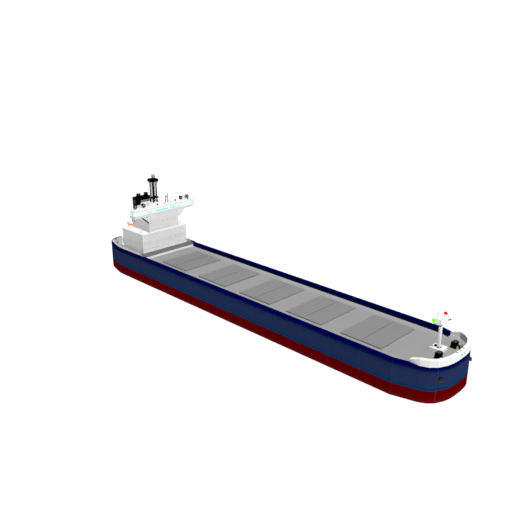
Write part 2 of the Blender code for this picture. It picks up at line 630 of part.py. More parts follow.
def build_rudder(group, helpers):
    """The rudder's origin is on its stock, at the bottom of the blade."""
    nose, tail = RUDDER_FRONT - RUDDER_AXIS_X, RUDDER_BACK - RUDDER_AXIS_X
    half = RUDDER_HALF_THICKNESS
    outline = [(nose, 0), (nose - 0.03, half * 0.8), (0, half), (tail * 0.5, half * 0.7), (tail, 0.004)]
    section = outline + [(x, -y) for x, y in reversed(outline[1:])]
    height = RUDDER_TOP - RUDDER_BOTTOM
    blade_solid = loft([[(x, y, z) for x, y in section] for z in (0, height)])
    rudder = add_object("rudder", blade_solid, "antifouling_red", group)
    rudder.location = (RUDDER_AXIS_X, 0, RUDDER_BOTTOM)
    bm = bmesh.new()
    add_rod(bm, (0, 0, height - 0.05), (0, 0, COUNTER - GAP - RUDDER_BOTTOM), 0.028)
    stock = add_object("rudder_stock", bm, None, helpers)
    stock.location = rudder.location
    join(rudder, stock, "UNION", helpers)


def build_stair_tower(group, helpers):
    """A stair tower aft of the deckhouse on the starboard side: four posts and two landings."""
    foot = POOP_TOP + GAP

    def plate(name, bottom, finish, where):
        low = (STAIR_AFT, STAIR_OUT, bottom)
        return box(name, low, (STAIR_FORE, STAIR_IN, bottom + STAIR_PLATE), finish, where)

    tower = plate("stair_tower", foot, "house_white", group)
    for i, z in enumerate(STAIR_LANDINGS):
        join(tower, plate(f"landing_{i}", z, None, helpers), "UNION", helpers)
    half = STAIR_POST / 2
    for i, x in enumerate((STAIR_AFT + STAIR_POST, STAIR_FORE - STAIR_POST)):
        for j, y in enumerate((STAIR_OUT + STAIR_POST, STAIR_IN - STAIR_POST)):
            low, high = (x - half, y - half, foot + 0.01), (x + half, y + half, STAIR_TOP)
            join(tower, box(f"stair_post_{i}_{j}", low, high, None, helpers), "UNION", helpers)


def build():
    clear_scene()
    scene = bpy.context.scene.collection
    ship = collection("bulk_carrier", scene)
    helpers = collection("cutters", scene)
    helpers.hide_render = True
    build_hull(ship, helpers)
    build_fore_body(ship, helpers)
    build_aft_body(ship, helpers)
    build_bulwarks(ship)
    build_poop(ship)
    build_forecastle(ship)
    build_hatches(ship, helpers)
    build_superstructure(ship, helpers)
    build_radar_mast(ship, helpers)
    build_foremast(ship, helpers)
    build_deck_gear(ship, helpers)
    build_propeller(ship, helpers)
    build_rudder(ship, helpers)
    build_stair_tower(ship, helpers)


build()
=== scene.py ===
import math
import random

import bmesh
import bpy
from mathutils import Matrix, Vector


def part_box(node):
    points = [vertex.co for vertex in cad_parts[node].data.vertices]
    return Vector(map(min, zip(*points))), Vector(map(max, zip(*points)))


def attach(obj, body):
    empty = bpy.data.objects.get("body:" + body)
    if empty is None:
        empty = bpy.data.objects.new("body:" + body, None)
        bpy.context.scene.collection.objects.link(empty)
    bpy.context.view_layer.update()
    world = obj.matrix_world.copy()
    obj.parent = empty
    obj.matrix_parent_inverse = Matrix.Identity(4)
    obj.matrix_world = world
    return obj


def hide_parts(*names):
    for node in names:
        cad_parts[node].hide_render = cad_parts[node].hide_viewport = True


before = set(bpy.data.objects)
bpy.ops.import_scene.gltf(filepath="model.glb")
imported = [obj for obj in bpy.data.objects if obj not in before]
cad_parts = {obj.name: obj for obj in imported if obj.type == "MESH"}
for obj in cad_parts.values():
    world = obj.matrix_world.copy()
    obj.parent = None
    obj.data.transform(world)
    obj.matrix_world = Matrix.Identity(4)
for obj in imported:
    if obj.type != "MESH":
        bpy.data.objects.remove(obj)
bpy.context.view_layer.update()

# Corners of the CAD pieces that carry others
HOUSE_LOW, HOUSE_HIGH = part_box("deckhouse")
TOWER_LOW, TOWER_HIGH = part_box("accommodation_tower")
BRIDGE_LOW, BRIDGE_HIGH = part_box("bridge")
FUNNEL_LOW, FUNNEL_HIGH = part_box("funnel")
PLATFORM_LOW, PLATFORM_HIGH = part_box("foremast_platform")

# Levels of the ship, in metres
WATERLINE = 0.60
RED_TOP = 1.024
MAIN_DECK = 1.65
FOREDECK = 1.83
POOP = 1.85
PLATFORM_TOP = 1.92
HOUSE_ROOF = 2.74
BRIDGE_FLOOR = 3.56
BRIDGE_ROOF = 3.89
FUNNEL_TOP = 4.00

# The wings end here aft, and the narrower wheelhouse goes on between them
WING_AFT = -6.24
WHEELHOUSE_HALF = 0.50

# Axes of the masts and of the uptakes
MAST_X = -6.68
FOREMAST_X = 8.07
UPTAKE_X = -7.69

# Pieces are turned about these directions
UP = (0, 0, 1)
AHEAD = (1, 0, 0)
ACROSS = (0, 1, 0)

# How much light each kind of face gets, as the share that a perfect white would show
TOP_LIGHT = 1.22
FRONT_LIGHT = 0.86
SIDE_LIGHT = 0.72
HULL_LIGHT = 0.76
BOW_LIGHT = 1.10


def screen(value):
    """The linear strength of a screen value from 0 to 255."""
    value = value / 255
    return value / 12.92 if value <= 0.04045 else ((value + 0.055) / 1.055) ** 2.4


def tone(red, green, blue, light=1.0):
    """The paint that shows as this screen colour under that much light."""
    return tuple(min(screen(value) / light, 0.96) for value in (red, green, blue))


def grey(value, light=1.0):
    """The grey paint that shows as this screen value under that much light."""
    return tone(value, value, value, light)


# Finishes


class Wire:
    """One shader socket that takes Python arithmetic."""

    def __init__(self, paint, socket):
        self.paint = paint
        self.socket = socket

    def maths(self, operation, first, second):
        return self.paint.node("ShaderNodeMath", {"operation": operation}, {0: first, 1: second})

    def __add__(self, other):
        return self.maths("ADD", self, other)

    def __radd__(self, other):
        return self.maths("ADD", other, self)

    def __sub__(self, other):
        return self.maths("SUBTRACT", self, other)

    def __rsub__(self, other):
        return self.maths("SUBTRACT", other, self)

    def __mul__(self, other):
        return self.maths("MULTIPLY", self, other)

    def __rmul__(self, other):
        return self.maths("MULTIPLY", other, self)

    def __truediv__(self, other):
        return self.maths("DIVIDE", self, other)

    def __gt__(self, other):
        return self.maths("GREATER_THAN", self, other)

    def __lt__(self, other):
        return self.maths("LESS_THAN", self, other)

    def size(self):
        return self.maths("ABSOLUTE", self, 0.0)

    def repeat(self, step):
        return self.maths("PINGPONG", self, step / 2)

    def clamp(self):
        return self.paint.node("ShaderNodeClamp", {}, {0: self})


class Nodes:
    """A node tree, and the one way its nodes are made."""

    def __init__(self, tree):
        self.tree = tree

    def join(self, socket, value):
        if isinstance(value, Wire):
            self.tree.links.new(value.socket, socket)
        elif socket.type == "RGBA":
            socket.default_value = (*value, 1.0)
        else:
            socket.default_value = value

    def node(self, kind, settings, sockets, output=0):
        made = self.tree.nodes.new(kind)
        for name, value in settings.items():
            if name == "stops":
                self.set_stops(made.color_ramp.elements, value)
            else:
                setattr(made, name, value)
        for name, value in sockets.items():
            self.join(made.inputs[name], value)
        return Wire(self, made.outputs[output])

    def set_stops(self, elements, stops):
        elements.remove(elements[1])
        elements[0].position = stops[0][0]
        elements[0].color = (*stops[0][1], 1.0)
        for position, colour in stops[1:]:
            elements.new(position).color = (*colour, 1.0)

    def split(self, vector):
        return [self.node("ShaderNodeSeparateXYZ", {}, {0: vector}, axis) for axis in "XYZ"]

    def mix(self, share, first, second):
        return self.node("ShaderNodeMix", {"data_type": "RGBA"}, {0: share, 6: first, 7: second}, 2)


class Paint(Nodes):
    """A Principled material, dull unless its settings say otherwise."""

    def __init__(self, name, settings):
        self.material = bpy.data.materials.new(name)
        self.material.use_nodes = True
        super().__init__(self.material.node_tree)
        self.shader = self.tree.nodes["Principled BSDF"]
        for socket, value in {"Specular IOR Level": 0.05, **settings}.items():
            self.feed(socket, value)

    def feed(self, socket, value):
        self.join(self.shader.inputs[socket], value)

    def place(self):
        return self.node("ShaderNodeTexCoord", {}, {}, "Object")

    def facing(self):
        return self.split(self.node("ShaderNodeNewGeometry", {}, {}, "Normal"))

    def stretch(self, vector, amounts):
        return self.node("ShaderNodeVectorMath", {"operation": "MULTIPLY"}, {0: vector, 1: amounts})

    def scaled(self, colour, amount):
        return self.node("ShaderNodeVectorMath", {"operation": "SCALE"}, {0: colour, "Scale": amount})

    def noise(self, place, scale, detail=2.0):
        return self.node("ShaderNodeTexNoise", {}, {"Vector": place, "Scale": scale, "Detail": detail})

    def clouds(self, place, patch, grain):
        """Broad patches and fine grain."""
        return self.noise(place, patch, 3.0), self.noise(place, grain)

    def edges(self, radius, sharpness=4.0):
        """White within a radius of an outer edge: where paint rubs away, and on the white superstructure a
        painted highlight.
        """
        soft = self.node("ShaderNodeBevel", {"samples": 4}, {"Radius": radius})
        true = self.node("ShaderNodeNewGeometry", {}, {}, "Normal")
        level = self.node("ShaderNodeVectorMath", {"operation": "DOT_PRODUCT"}, {0: soft, 1: true}, "Value")
        return ((1 - level) * sharpness).clamp()

    def bump(self, height, distance):
        sockets = {"Strength": 0.5, "Distance": distance, "Height": height}
        self.feed("Normal", self.node("ShaderNodeBump", {}, sockets))


def ramp_along(paint, value, low, high, stops):
    """A colour ramp whose stops are given in the value's own metres."""
    span = high - low
    placed = [((at - low) / span, colour) for at, colour in stops]
    return paint.node("ShaderNodeValToRGB", {"stops": placed}, {0: (value - low) / span})


def weathered(name, colour, worn, settings, drift=0.06, patch=1.6, grain=30.0, edge=0.01, wear=0.5,
              rough=(0.45, 0.65), relief=0.001):
    """Paint or bare metal: its tone drifts in patches, its edges are rubbed, and its sheen varies."""
    paint = Paint(name, {"Specular IOR Level": 0.1, **settings})
    place = paint.place()
    broad, fine = paint.clouds(place, patch, grain)
    body = paint.scaled(colour, 1 + (broad - 0.5) * drift * 2 + (fine - 0.5) * drift)
    edge_wear_and_highlight = paint.edges(edge) * wear * fine * 2
    paint.feed("Base Color", paint.mix(edge_wear_and_highlight.clamp(), body, worn))
    paint.feed("Roughness", rough[0] + broad * (rough[1] - rough[0]))
    paint.bump(fine, relief)
    return paint.material


def plate_seams(x, y, length, width, line=0.006):
    """Thin weld lines between plates of one length and width."""
    across = x.repeat(length) < line
    along = y.repeat(width) < line
    return (across + along).clamp()


def painted_shade_aft(x):
    """How much painted shade darkens the deck paint towards the deckhouse."""
    return ((-3.0 - x) / 1.2).clamp() * 0.13


def deck_colour(paint, x, y, broad, fine):
    """Grey deck plating, paler near the bulwarks, with faint seams and painted shade towards the deckhouse.
    """
    plain, pale = grey(160, TOP_LIGHT), tone(182, 182, 180, TOP_LIGHT)
    deck = paint.mix((y.size() - 0.95).clamp() * 1.2, plain, pale)
    seams = plate_seams(x, y, 0.618, 0.39, 0.004)
    return paint.scaled(deck, 0.97 + broad * 0.04 + fine * 0.04 - seams * 0.05 - painted_shade_aft(x))


def foredeck_paint():
    """The grey of the decks, on the raised foredeck and its sloping break."""
    paint = Paint("foredeck_paint", {})
    place = paint.place()
    x, y, _ = paint.split(place)
    broad, fine = paint.clouds(place, 1.8, 34.0)
    paint.feed("Base Color", deck_colour(paint, x, y, broad, fine))
    paint.feed("Roughness", 0.55 + broad * 0.15)
    paint.bump(fine, 0.0006)
    return paint.material


def hull_paint():
    """Red below, blue above with a darker rail, grey decks on top and primer inside the holds."""
    paint = Paint("hull_paint", {"Specular IOR Level": 0.0})
    place = paint.place()
    x, y, z = paint.split(place)
    _, _, face_z = paint.facing()
    levels = [
        (0.00, (78, 3, 2)), (0.64, (86, 3, 3)), (0.90, (80, 0, 0)), (RED_TOP - 0.002, (86, 0, 0)),
        (RED_TOP + 0.002, (0, 44, 80)), (1.10, (11, 43, 78)), (1.19, (23, 42, 76)), (1.30, (29, 41, 74)),
        (1.55, (30, 40, 73)), (1.62, (25, 36, 71)), (1.69, (9, 25, 66)), (1.74, (0, 10, 61)),
        (1.79, (0, 3, 56)), (1.82, (0, 0, 54)), (1.84, (0, 0, 10)),
    ]
    sides = [(level, tone(*colour, HULL_LIGHT)) for level, colour in levels]
    side = ramp_along(paint, z, 0.0, 2.0, sides)
    broad = paint.noise(paint.stretch(place, (0.5, 0.5, 1.4)), 2.2, 3.0)
    streaks = paint.noise(paint.stretch(place, (9.0, 9.0, 0.6)), 1.5)
    fine = paint.noise(place, 34.0)
    side = paint.scaled(side, 0.94 + broad * 0.07 + streaks * 0.05)
    seams = plate_seams(x, z - 0.18, 1.236, 0.49)
    side = paint.mix(seams * fine * 0.35, side, tone(60, 76, 112, HULL_LIGHT))
    inside = (y.size() < 1.53) * (z > 0.17) * (z < MAIN_DECK - 0.01) * (x > -4.9) * (x < 6.6)
    primer = paint.scaled(tone(150, 118, 104, 1.0), 0.85 + broad * 0.2)
    side = paint.mix(inside, side, primer)
    deck = deck_colour(paint, x, y, broad, fine)
    rail = paint.scaled(tone(0, 0, 92, TOP_LIGHT), 0.94 + fine * 0.12)
    top = paint.mix(z > 1.74, deck, rail)
    upward = (face_z > 0.5) * (z > MAIN_DECK - 0.05)
    paint.feed("Base Color", paint.mix(upward, side, top))
    paint.feed("Roughness", 0.5 + broad * 0.15 - seams * 0.1)
    paint.bump(fine * 0.3 - seams, 0.0015)
    return paint.material


def poop_paint():
    """Grey poop plating, its dark sloping break and the white step in front of it."""
    paint = Paint("poop_paint", {})
    place = paint.place()
    x, y, _ = paint.split(place)
    face_x, _, _ = paint.facing()
    broad, fine = paint.clouds(place, 1.8, 32.0)
    seams = plate_seams(x, y, 0.49, 0.41, 0.004)
    plating = paint.mix(x < -7.7, tone(156, 156, 154, TOP_LIGHT), tone(178, 178, 177, TOP_LIGHT))
    plating = paint.scaled(plating, 0.97 + broad * 0.04 + fine * 0.04 - seams * 0.05)
    slope = paint.scaled(grey(107, TOP_LIGHT), 0.93 + broad * 0.12)
    step = paint.scaled((0.99, 0.99, 0.99), 0.96 + fine * 0.05)
    colour = paint.mix(face_x > 0.12, plating, slope)
    paint.feed("Base Color", paint.mix(face_x > 0.7, colour, step))
    paint.feed("Roughness", 0.6 + broad * 0.15)
    paint.bump(fine * 0.3 - seams, 0.001)
    return paint.material


def hatch_paint():
    """Grey cover plating: stiffened panels and rubbed edges."""
    paint = Paint("hatch_paint", {})
    place = paint.place()
    x, y, _ = paint.split(place)
    broad, fine = paint.clouds(place, 1.5, 30.0)
    seams = plate_seams(x, y, 0.412, 0.50, 0.004)
    # Painted shade: the covers are darkened towards the deckhouse.
    shade = 0.97 + broad * 0.04 + fine * 0.04 - seams * 0.04 - painted_shade_aft(x)
    body = paint.scaled(grey(144, TOP_LIGHT), shade)
    edge_wear_and_highlight = paint.edges(0.02, 3.0) * (0.3 + fine)
    paint.feed("Base Color", paint.mix(edge_wear_and_highlight.clamp(), body, tone(128, 128, 126, TOP_LIGHT)))
    paint.feed("Roughness", 0.55 + broad * 0.15)
    paint.bump(fine * 0.3 - seams, 0.001)
    return paint.material


def house_white(name, front, side, shaded_behind, edge, inner=None):
    """White superstructure paint with faint runs, carrying painted shade and painted light: darker on its
    flanks, darker still on faces turned aft, brighter on inner faces where given, lighter towards the foot
    of the aft superstructure, darker above the house roof and on the bridge front, and with a painted
    highlight along its outer edges.
    """
    paint = Paint(name, {})
    place = paint.place()
    x, y, z = paint.split(place)
    face_x, face_y, face_z = paint.facing()
    broad, fine = paint.clouds(place, 1.7, 36.0)
    runs = paint.noise(paint.stretch(place, (14.0, 14.0, 0.8)), 1.4)
    # Painted shade: the flanks and the faces turned aft get darker copies of the white, and inner faces a
    # brighter painted one.
    painted_face_shading = paint.mix(face_y.size() > 0.6, front, side)
    if inner:
        painted_face_shading = paint.mix(y * face_y < -0.3, painted_face_shading, inner)
    painted_face_shading = paint.mix(face_x < -0.3, painted_face_shading, shaded_behind)
    wall = paint.mix(face_z > 0.6, painted_face_shading, grey(254, TOP_LIGHT))
    # Painted light: the white is lightened towards the foot of the aft superstructure.
    foot = ((2.20 - z) * 3.0).clamp() * (x < 0.0) * 0.22
    # Painted shade: a little lighter below the house roof, darker above it, and darker still on the bridge
    # front.
    painted_storey_shade = (x < 0.0) * ((z > HOUSE_ROOF) * 0.04 + (z > BRIDGE_FLOOR) * (face_x > 0.6) * 0.08 - 0.02)
    body = paint.scaled(wall, 0.975 + broad * 0.02 + runs * 0.02 + fine * 0.01 + foot - painted_storey_shade)
    # Painted highlight: the outer edges of the white are lightened.
    edge_wear_and_highlight = paint.edges(0.05, 1.6) * 0.6
    paint.feed("Base Color", paint.mix(edge_wear_and_highlight.clamp(), body, edge))
    paint.feed("Roughness", 0.45 + broad * 0.15)
    paint.bump(fine, 0.0006)
    return paint.material


def glazing(name, colour):
    """Window glass that mirrors the pale sky, a little uneven from pane to pane."""
    paint = Paint(name, {"Metallic": 0.9, "Specular IOR Level": 0.5})
    place = paint.place()
    broad = paint.noise(place, 6.0)
    fine = paint.noise(place, 50.0)
    paint.feed("Base Color", paint.scaled(colour, 0.94 + broad * 0.12))
    paint.feed("Roughness", 0.1 + fine * 0.08)
    return paint.material


def lamp_glass(name, colour, glow):
    """Coloured lamp lens with fine ribs."""
    paint = Paint(name, {"Roughness": 0.35, "Emission Strength": glow})
    place = paint.place()
    _, _, z = paint.split(place)
    ribs = z.repeat(0.012) * 160
    fine = paint.noise(place, 40.0)
    tinted = paint.scaled(colour, 0.86 + ribs.clamp() * 0.2 + fine * 0.05)
    paint.feed("Base Color", tinted)
    paint.feed("Emission Color", tinted)
    paint.bump(ribs, 0.002)
    return paint.material


HULL = hull_paint()
FOREDECK_PAINT = foredeck_paint()
POOP_PAINT = poop_paint()
HATCH = hatch_paint()
# The whites are lit and shaded copies of one white paint. Their arguments are the painted tones for faces
# turned ahead, to the sides and aft, then the painted edge highlight, and for the bow white the brighter
# painted tone of the inner faces.
WHITE = house_white("house_white", grey(216, FRONT_LIGHT), grey(180, SIDE_LIGHT),
                    grey(190, SIDE_LIGHT), grey(232, FRONT_LIGHT))
BOW_WHITE = house_white("bow_white", tone(243, 243, 242, BOW_LIGHT), tone(224, 224, 223, 0.96),
                        grey(150, SIDE_LIGHT), grey(250, BOW_LIGHT), (0.96, 0.96, 0.96))
BRIGHT_WHITE = house_white("mast_white", (0.95, 0.95, 0.95), grey(232, SIDE_LIGHT),
                           (0.9, 0.9, 0.9), (0.97, 0.97, 0.97))
COAMING = weathered("coaming_grey", grey(132, SIDE_LIGHT), tone(160, 160, 158), {})
BLACK = weathered("black_paint", (0.0008, 0.0008, 0.0008), (0.010, 0.010, 0.010),
                  {"Specular IOR Level": 0.02}, drift=0.3, wear=0.6)
GREY_STEEL = weathered("grey_steel", (0.07, 0.07, 0.07), (0.2, 0.2, 0.2), {"Metallic": 0.3}, drift=0.15)
PALE_STEEL = weathered("pale_steel", (0.42, 0.42, 0.42), (0.6, 0.6, 0.6), {"Metallic": 0.2}, drift=0.1)
ANCHOR_BROWN = weathered("anchor_brown", tone(66, 56, 4), tone(84, 72, 20), {}, drift=0.35, patch=9.0,
                         grain=60.0, wear=0.3, rough=(0.6, 0.85), relief=0.003)
BRONZE = weathered("propeller_bronze", (0.60, 0.36, 0.11), (0.85, 0.6, 0.28), {"Metallic": 0.9,
                   "Specular IOR Level": 0.5}, drift=0.12, patch=5.0, rough=(0.22, 0.4), edge=0.006)
ORANGE = weathered("boat_orange", tone(246, 118, 0, FRONT_LIGHT), tone(250, 150, 60), {}, drift=0.06,
                   wear=0.1, rough=(0.25, 0.4))
TAN = weathered("lamp_tan", tone(139, 112, 88, FRONT_LIGHT), tone(170, 140, 112), {}, drift=0.12, patch=8.0)
PEACH = weathered("trim_peach", tone(255, 226, 196), tone(255, 232, 206), {}, drift=0.05)
YELLOW = weathered("hand_wheel_yellow", tone(230, 195, 0, FRONT_LIGHT), tone(140, 120, 20), {}, drift=0.1)
DARK_RED = weathered("dark_red", tone(60, 0, 0, FRONT_LIGHT), tone(90, 20, 20), {}, drift=0.15)
ROPE = weathered("mooring_rope", (0.30, 0.27, 0.20), (0.45, 0.42, 0.34), {}, drift=0.2, grain=90.0,
                 relief=0.004, rough=(0.8, 0.95))
PALE_GLASS = glazing("pale_glass", (0.80, 0.97, 0.97))
DEEP_GLASS = glazing("deep_glass", (0.30, 0.76, 0.86))
WINDOW = weathered("window_glass", tone(176, 178, 180, FRONT_LIGHT), grey(196, FRONT_LIGHT),
                   {"Specular IOR Level": 0.3}, drift=0.12, patch=7.0, edge=0.002, rough=(0.12, 0.25),
                   relief=0.0002)
TEAL_GLASS = glazing("lantern_glass", (0.20, 0.46, 0.46))
GREEN_LAMP = lamp_glass("green_lamp", (0.20, 1.0, 0.0), 0.45)
RED_LAMP = lamp_glass("red_lamp", (1.0, 0.0, 0.0), 0.35)

CAD_FINISHES = {
    "double_bottom": HULL, "hopper_tank": HULL, "side_shell": HULL, "topside_tank": HULL,
    "fore_body": HULL, "aft_body": HULL, "bulkhead": HULL, "rudder": HULL,
    "bulwark": HULL, "forecastle_side": HULL, "poop_bulwark": HULL, "bow_bulwark": BOW_WHITE,
    "foredeck": FOREDECK_PAINT, "poop_deck": POOP_PAINT, "coaming": COAMING, "hatch": HATCH,
    "deckhouse": WHITE, "accommodation_tower": WHITE, "bridge": WHITE, "wing_bracket": WHITE,
    "engine_casing": WHITE, "foremast": BRIGHT_WHITE, "stair_tower": BRIGHT_WHITE, "lifeboat": ORANGE,
    "funnel": BLACK, "radar_mast": BLACK, "windlass": BLACK, "anchor": ANCHOR_BROWN, "propeller": BRONZE,
}


def finish_cad_nodes():
    """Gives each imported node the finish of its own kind, by the longest matching start of its name."""
    for name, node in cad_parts.items():
        kinds = [kind for kind in CAD_FINISHES if name.startswith(kind)]
        node.data.materials.clear()
        node.data.materials.append(CAD_FINISHES[max(kinds, key=len)])


# Shapes


class Shape:
    """One piece while it is built: a mesh that parts are poured into, and the finishes on it."""

    def __init__(self, *finishes):
        self.bm = bmesh.new()
        self.finishes = finishes

    def pour(self, part, matrix=None, finish=0, smooth=False):
        """Adds another bmesh to this one."""
        if matrix:
            bmesh.ops.transform(part, matrix=matrix, verts=part.verts)
            if matrix.determinant() < 0:
                bmesh.ops.reverse_faces(part, faces=part.faces)
        for face in part.faces:
            if finish is not None:
                face.material_index = finish
            face.smooth = smooth
        mesh = bpy.data.meshes.new("part")
        part.to_mesh(mesh)
        part.free()
        self.bm.from_mesh(mesh)
        bpy.data.meshes.remove(mesh)

    def block(self, low, high, finish=0, edge=0.0, matrix=None):
        """A box between two corners, with its edges rounded off where edge is given."""
        part = bmesh.new()
        low, high = Vector(low), Vector(high)
        shape = Matrix.Translation((low + high) / 2) @ Matrix.Diagonal((*(high - low), 1))
        bmesh.ops.create_cube(part, size=1.0, matrix=shape)
        if edge:
            bmesh.ops.bevel(part, geom=part.edges, offset=edge, offset_type="OFFSET", segments=2,
                            profile=0.5, affect="EDGES", material=-1)
        self.pour(part, matrix, finish)

    def rod(self, start, end, radius, finish=0, sides=8, matrix=None):
        """A round bar between two points."""
        part = bmesh.new()
        start, end = Vector(start), Vector(end)
        turn = (end - start).to_track_quat("Z", "Y").to_matrix().to_4x4()
        place = Matrix.Translation((start + end) / 2) @ turn
        bmesh.ops.create_cone(part, cap_ends=True, segments=sides, radius1=radius, radius2=radius,
                              depth=(end - start).length, matrix=place)
        self.pour(part, matrix, finish, smooth=sides > 6)

    def turned(self, profile, centre, axis, finish=0, steps=20, matrix=None):
        """A profile of (distance along the axis, radius) spun round the axis."""
        part = bmesh.new()
        points = [part.verts.new((radius, 0, along)) for along, radius in profile]
        lines = [part.edges.new(pair) for pair in zip(points, points[1:])]
        bmesh.ops.spin(part, geom=points + lines, cent=(0, 0, 0), axis=UP, dvec=(0, 0, 0),
                       angle=2 * math.pi, steps=steps, use_merge=True, use_duplicate=False)
        bmesh.ops.remove_doubles(part, verts=part.verts, dist=1e-5)
        bmesh.ops.recalc_face_normals(part, faces=part.faces)
        turn = Vector(axis).to_track_quat("Z", "Y").to_matrix().to_4x4()
        place = Matrix.Translation(Vector(centre)) @ turn
        self.pour(part, matrix @ place if matrix else place, finish, smooth=True)

    def slab(self, outline, thickness, finish=0, matrix=None):
        """A flat outline of points given a thickness along its own normal."""
        part = bmesh.new()
        face = part.faces.new([part.verts.new(point) for point in outline])
        face.normal_update()
        normal = face.normal.copy()
        grown = bmesh.ops.extrude_face_region(part, geom=[face])
        moved = [item for item in grown["geom"] if isinstance(item, bmesh.types.BMVert)]
        bmesh.ops.translate(part, verts=moved, vec=normal * thickness)
        bmesh.ops.recalc_face_normals(part, faces=part.faces)
        self.pour(part, matrix, finish)

    def rails(self, points, height, step, finish, radius, bars=3):
        """A guard rail along a line of deck points: posts and a few horizontal bars."""
        for start, end in zip(points, points[1:]):
            start, end = Vector(start), Vector(end)
            spans = max(1, round((end - start).length / step))
            for number in range(1, bars + 1):
                lift = Vector((0, 0, height * number / bars))
                thick = radius if number == bars else radius * 0.7
                self.rod(start + lift, end + lift, thick, finish, sides=5)
            for number in range(spans + 1):
                foot = start.lerp(end, number / spans)
                below, above = Vector((0, 0, 0.002)), Vector((0, 0, height))
                self.rod(foot - below, foot + above, radius, finish, sides=5)

    def done(self, name, body="hull", stands_for=()):
        mesh = bpy.data.meshes.new(name)
        self.bm.to_mesh(mesh)
        self.bm.free()
        for finish in self.finishes:
            mesh.materials.append(finish)
        made = bpy.data.objects.new(name, mesh)
        bpy.context.scene.collection.objects.link(made)
        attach(made, body)
        if stands_for:
            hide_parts(*stands_for)
        return made


# Pieces are drawn on the port side, and mirrored for the starboard one
SIDES = {"starboard": Matrix.Diagonal((1, -1, 1, 1)), "port": Matrix.Identity(4)}
BOTH = tuple(SIDES.values())


# Bridge and house


def bridge_windows():
    """The pale glass band round the front and the ends of the bridge, with its frames."""
    shape = Shape(PALE_GLASS, DEEP_GLASS, WHITE)
    deep_panes = (5, 8, 9, 10, 11, 12, 14, 15, 17, 23)
    low, high = 3.680, 3.848
    front, aft, half = BRIDGE_HIGH.x, BRIDGE_LOW.x, BRIDGE_HIGH.y
    back, glass = front - 0.003, front + 0.004
    panes = 24
    step = 2 * half / panes
    for number in range(panes):
        y = -half + number * step
        shape.block((back, y + 0.006, low), (glass, y + step - 0.006, high), 0)
        if number in deep_panes:
            shape.block((back, y, low + 0.035), (glass + 0.003, y + step, low + 0.095), 1)
    for number in range(panes + 1):
        y = -half + number * step
        shape.block((back, y - 0.005, low - 0.008), (glass + 0.002, y + 0.005, high + 0.008), 2)
    for edge in (low - 0.008, high):
        shape.block((back, -half - 0.004, edge), (glass + 0.003, half + 0.004, edge + 0.008), 2)
    for turn in BOTH:
        for number in range(3):
            x = WING_AFT + number * 0.1367
            finish = 1 if number == 1 else 0
            end = (x + 0.1307, half + 0.004, high)
            shape.block((x + 0.006, half - 0.003, low), end, finish, matrix=turn)
            shape.block((x - 0.005, half - 0.003, low), (x + 0.005, half + 0.006, high), 2, matrix=turn)
        for edge in (low - 0.008, high):
            end = (front, half + 0.007, edge + 0.008)
            shape.block((WING_AFT, half - 0.003, edge), end, 2, matrix=turn)
        for number in range(7):
            y = WHEELHOUSE_HALF + 0.05 + number * 0.155
            shape.block((WING_AFT - 0.004, y, low), (WING_AFT + 0.003, y + 0.13, high), matrix=turn)
    for number in range(6):
        y = 0.02 - WHEELHOUSE_HALF + number * 0.166
        shape.block((aft - 0.004, y, low), (aft + 0.003, y + 0.13, high), 0)
    wall = WHEELHOUSE_HALF
    for turn in BOTH:
        for number in range(4):
            x = aft + 0.05 + number * 0.175
            shape.block((x, wall - 0.003, low), (x + 0.145, wall + 0.004, high), 0, matrix=turn)
    shape.done("bridge_windows")


def house_windows():
    """Small windows in rows on each face of the deckhouse and the tower, doors at deck level."""
    shape = Shape(WINDOW, WHITE)
    draw = random.Random(11)
    house_rows, flank_rows = (2.02, 2.32, 2.61), (2.86, 3.14)
    rows = [
        ("x", HOUSE_HIGH.x, 1, -1.16, 1.16, house_rows, 0.145),
        ("x", TOWER_HIGH.x, 1, -0.74, 0.74, (2.84, 3.17, 3.49), 0.135),
        ("y", HOUSE_LOW.y, -1, -7.40, -6.05, house_rows, 0.18),
        ("y", TOWER_LOW.y, -1, -7.28, -6.10, flank_rows, 0.19),
        ("y", HOUSE_HIGH.y, 1, -7.40, -6.05, house_rows, 0.18),
        ("y", TOWER_HIGH.y, 1, -7.28, -6.10, flank_rows, 0.19),
        ("x", HOUSE_LOW.x, -1, -1.14, 1.14, house_rows, 0.19),
        ("x", TOWER_LOW.x, -1, -0.72, 0.72, (2.86, 3.14, 3.44), 0.18),
    ]
    for axis, plane, outward, start, end, levels, step in rows:
        near, far = sorted((plane - 0.001 * outward, plane + 0.0035 * outward))
        count = round((end - start) / step)
        for level in levels:
            for number in range(count + 1):
                if draw.random() < 0.45:
                    continue
                at = start + (end - start) * number / count
                low, high = (near, at - 0.020), (far, at + 0.020)
                if axis == "y":
                    low, high = low[::-1], high[::-1]
                shape.block((*low, level - 0.024), (*high, level + 0.024), 0)
    sill, lintel, knob = POOP + 0.02, POOP + 0.21, POOP + 0.115
    wall, back = HOUSE_HIGH.y, HOUSE_LOW.x
    for turn in BOTH:
        for x in (-7.20, -6.35):
            shape.block((x - 0.045, wall - 0.003, sill), (x + 0.045, wall + 0.008, lintel), 1, 0.006, turn)
            shape.rod((x + 0.03, wall + 0.006, knob), (x + 0.03, wall + 0.016, knob), 0.006, 0, matrix=turn)
    for y in (-0.95, 0.95):
        shape.block((back - 0.008, y - 0.045, sill), (back + 0.003, y + 0.045, lintel), 1, 0.006)
    shape.done("house_windows")


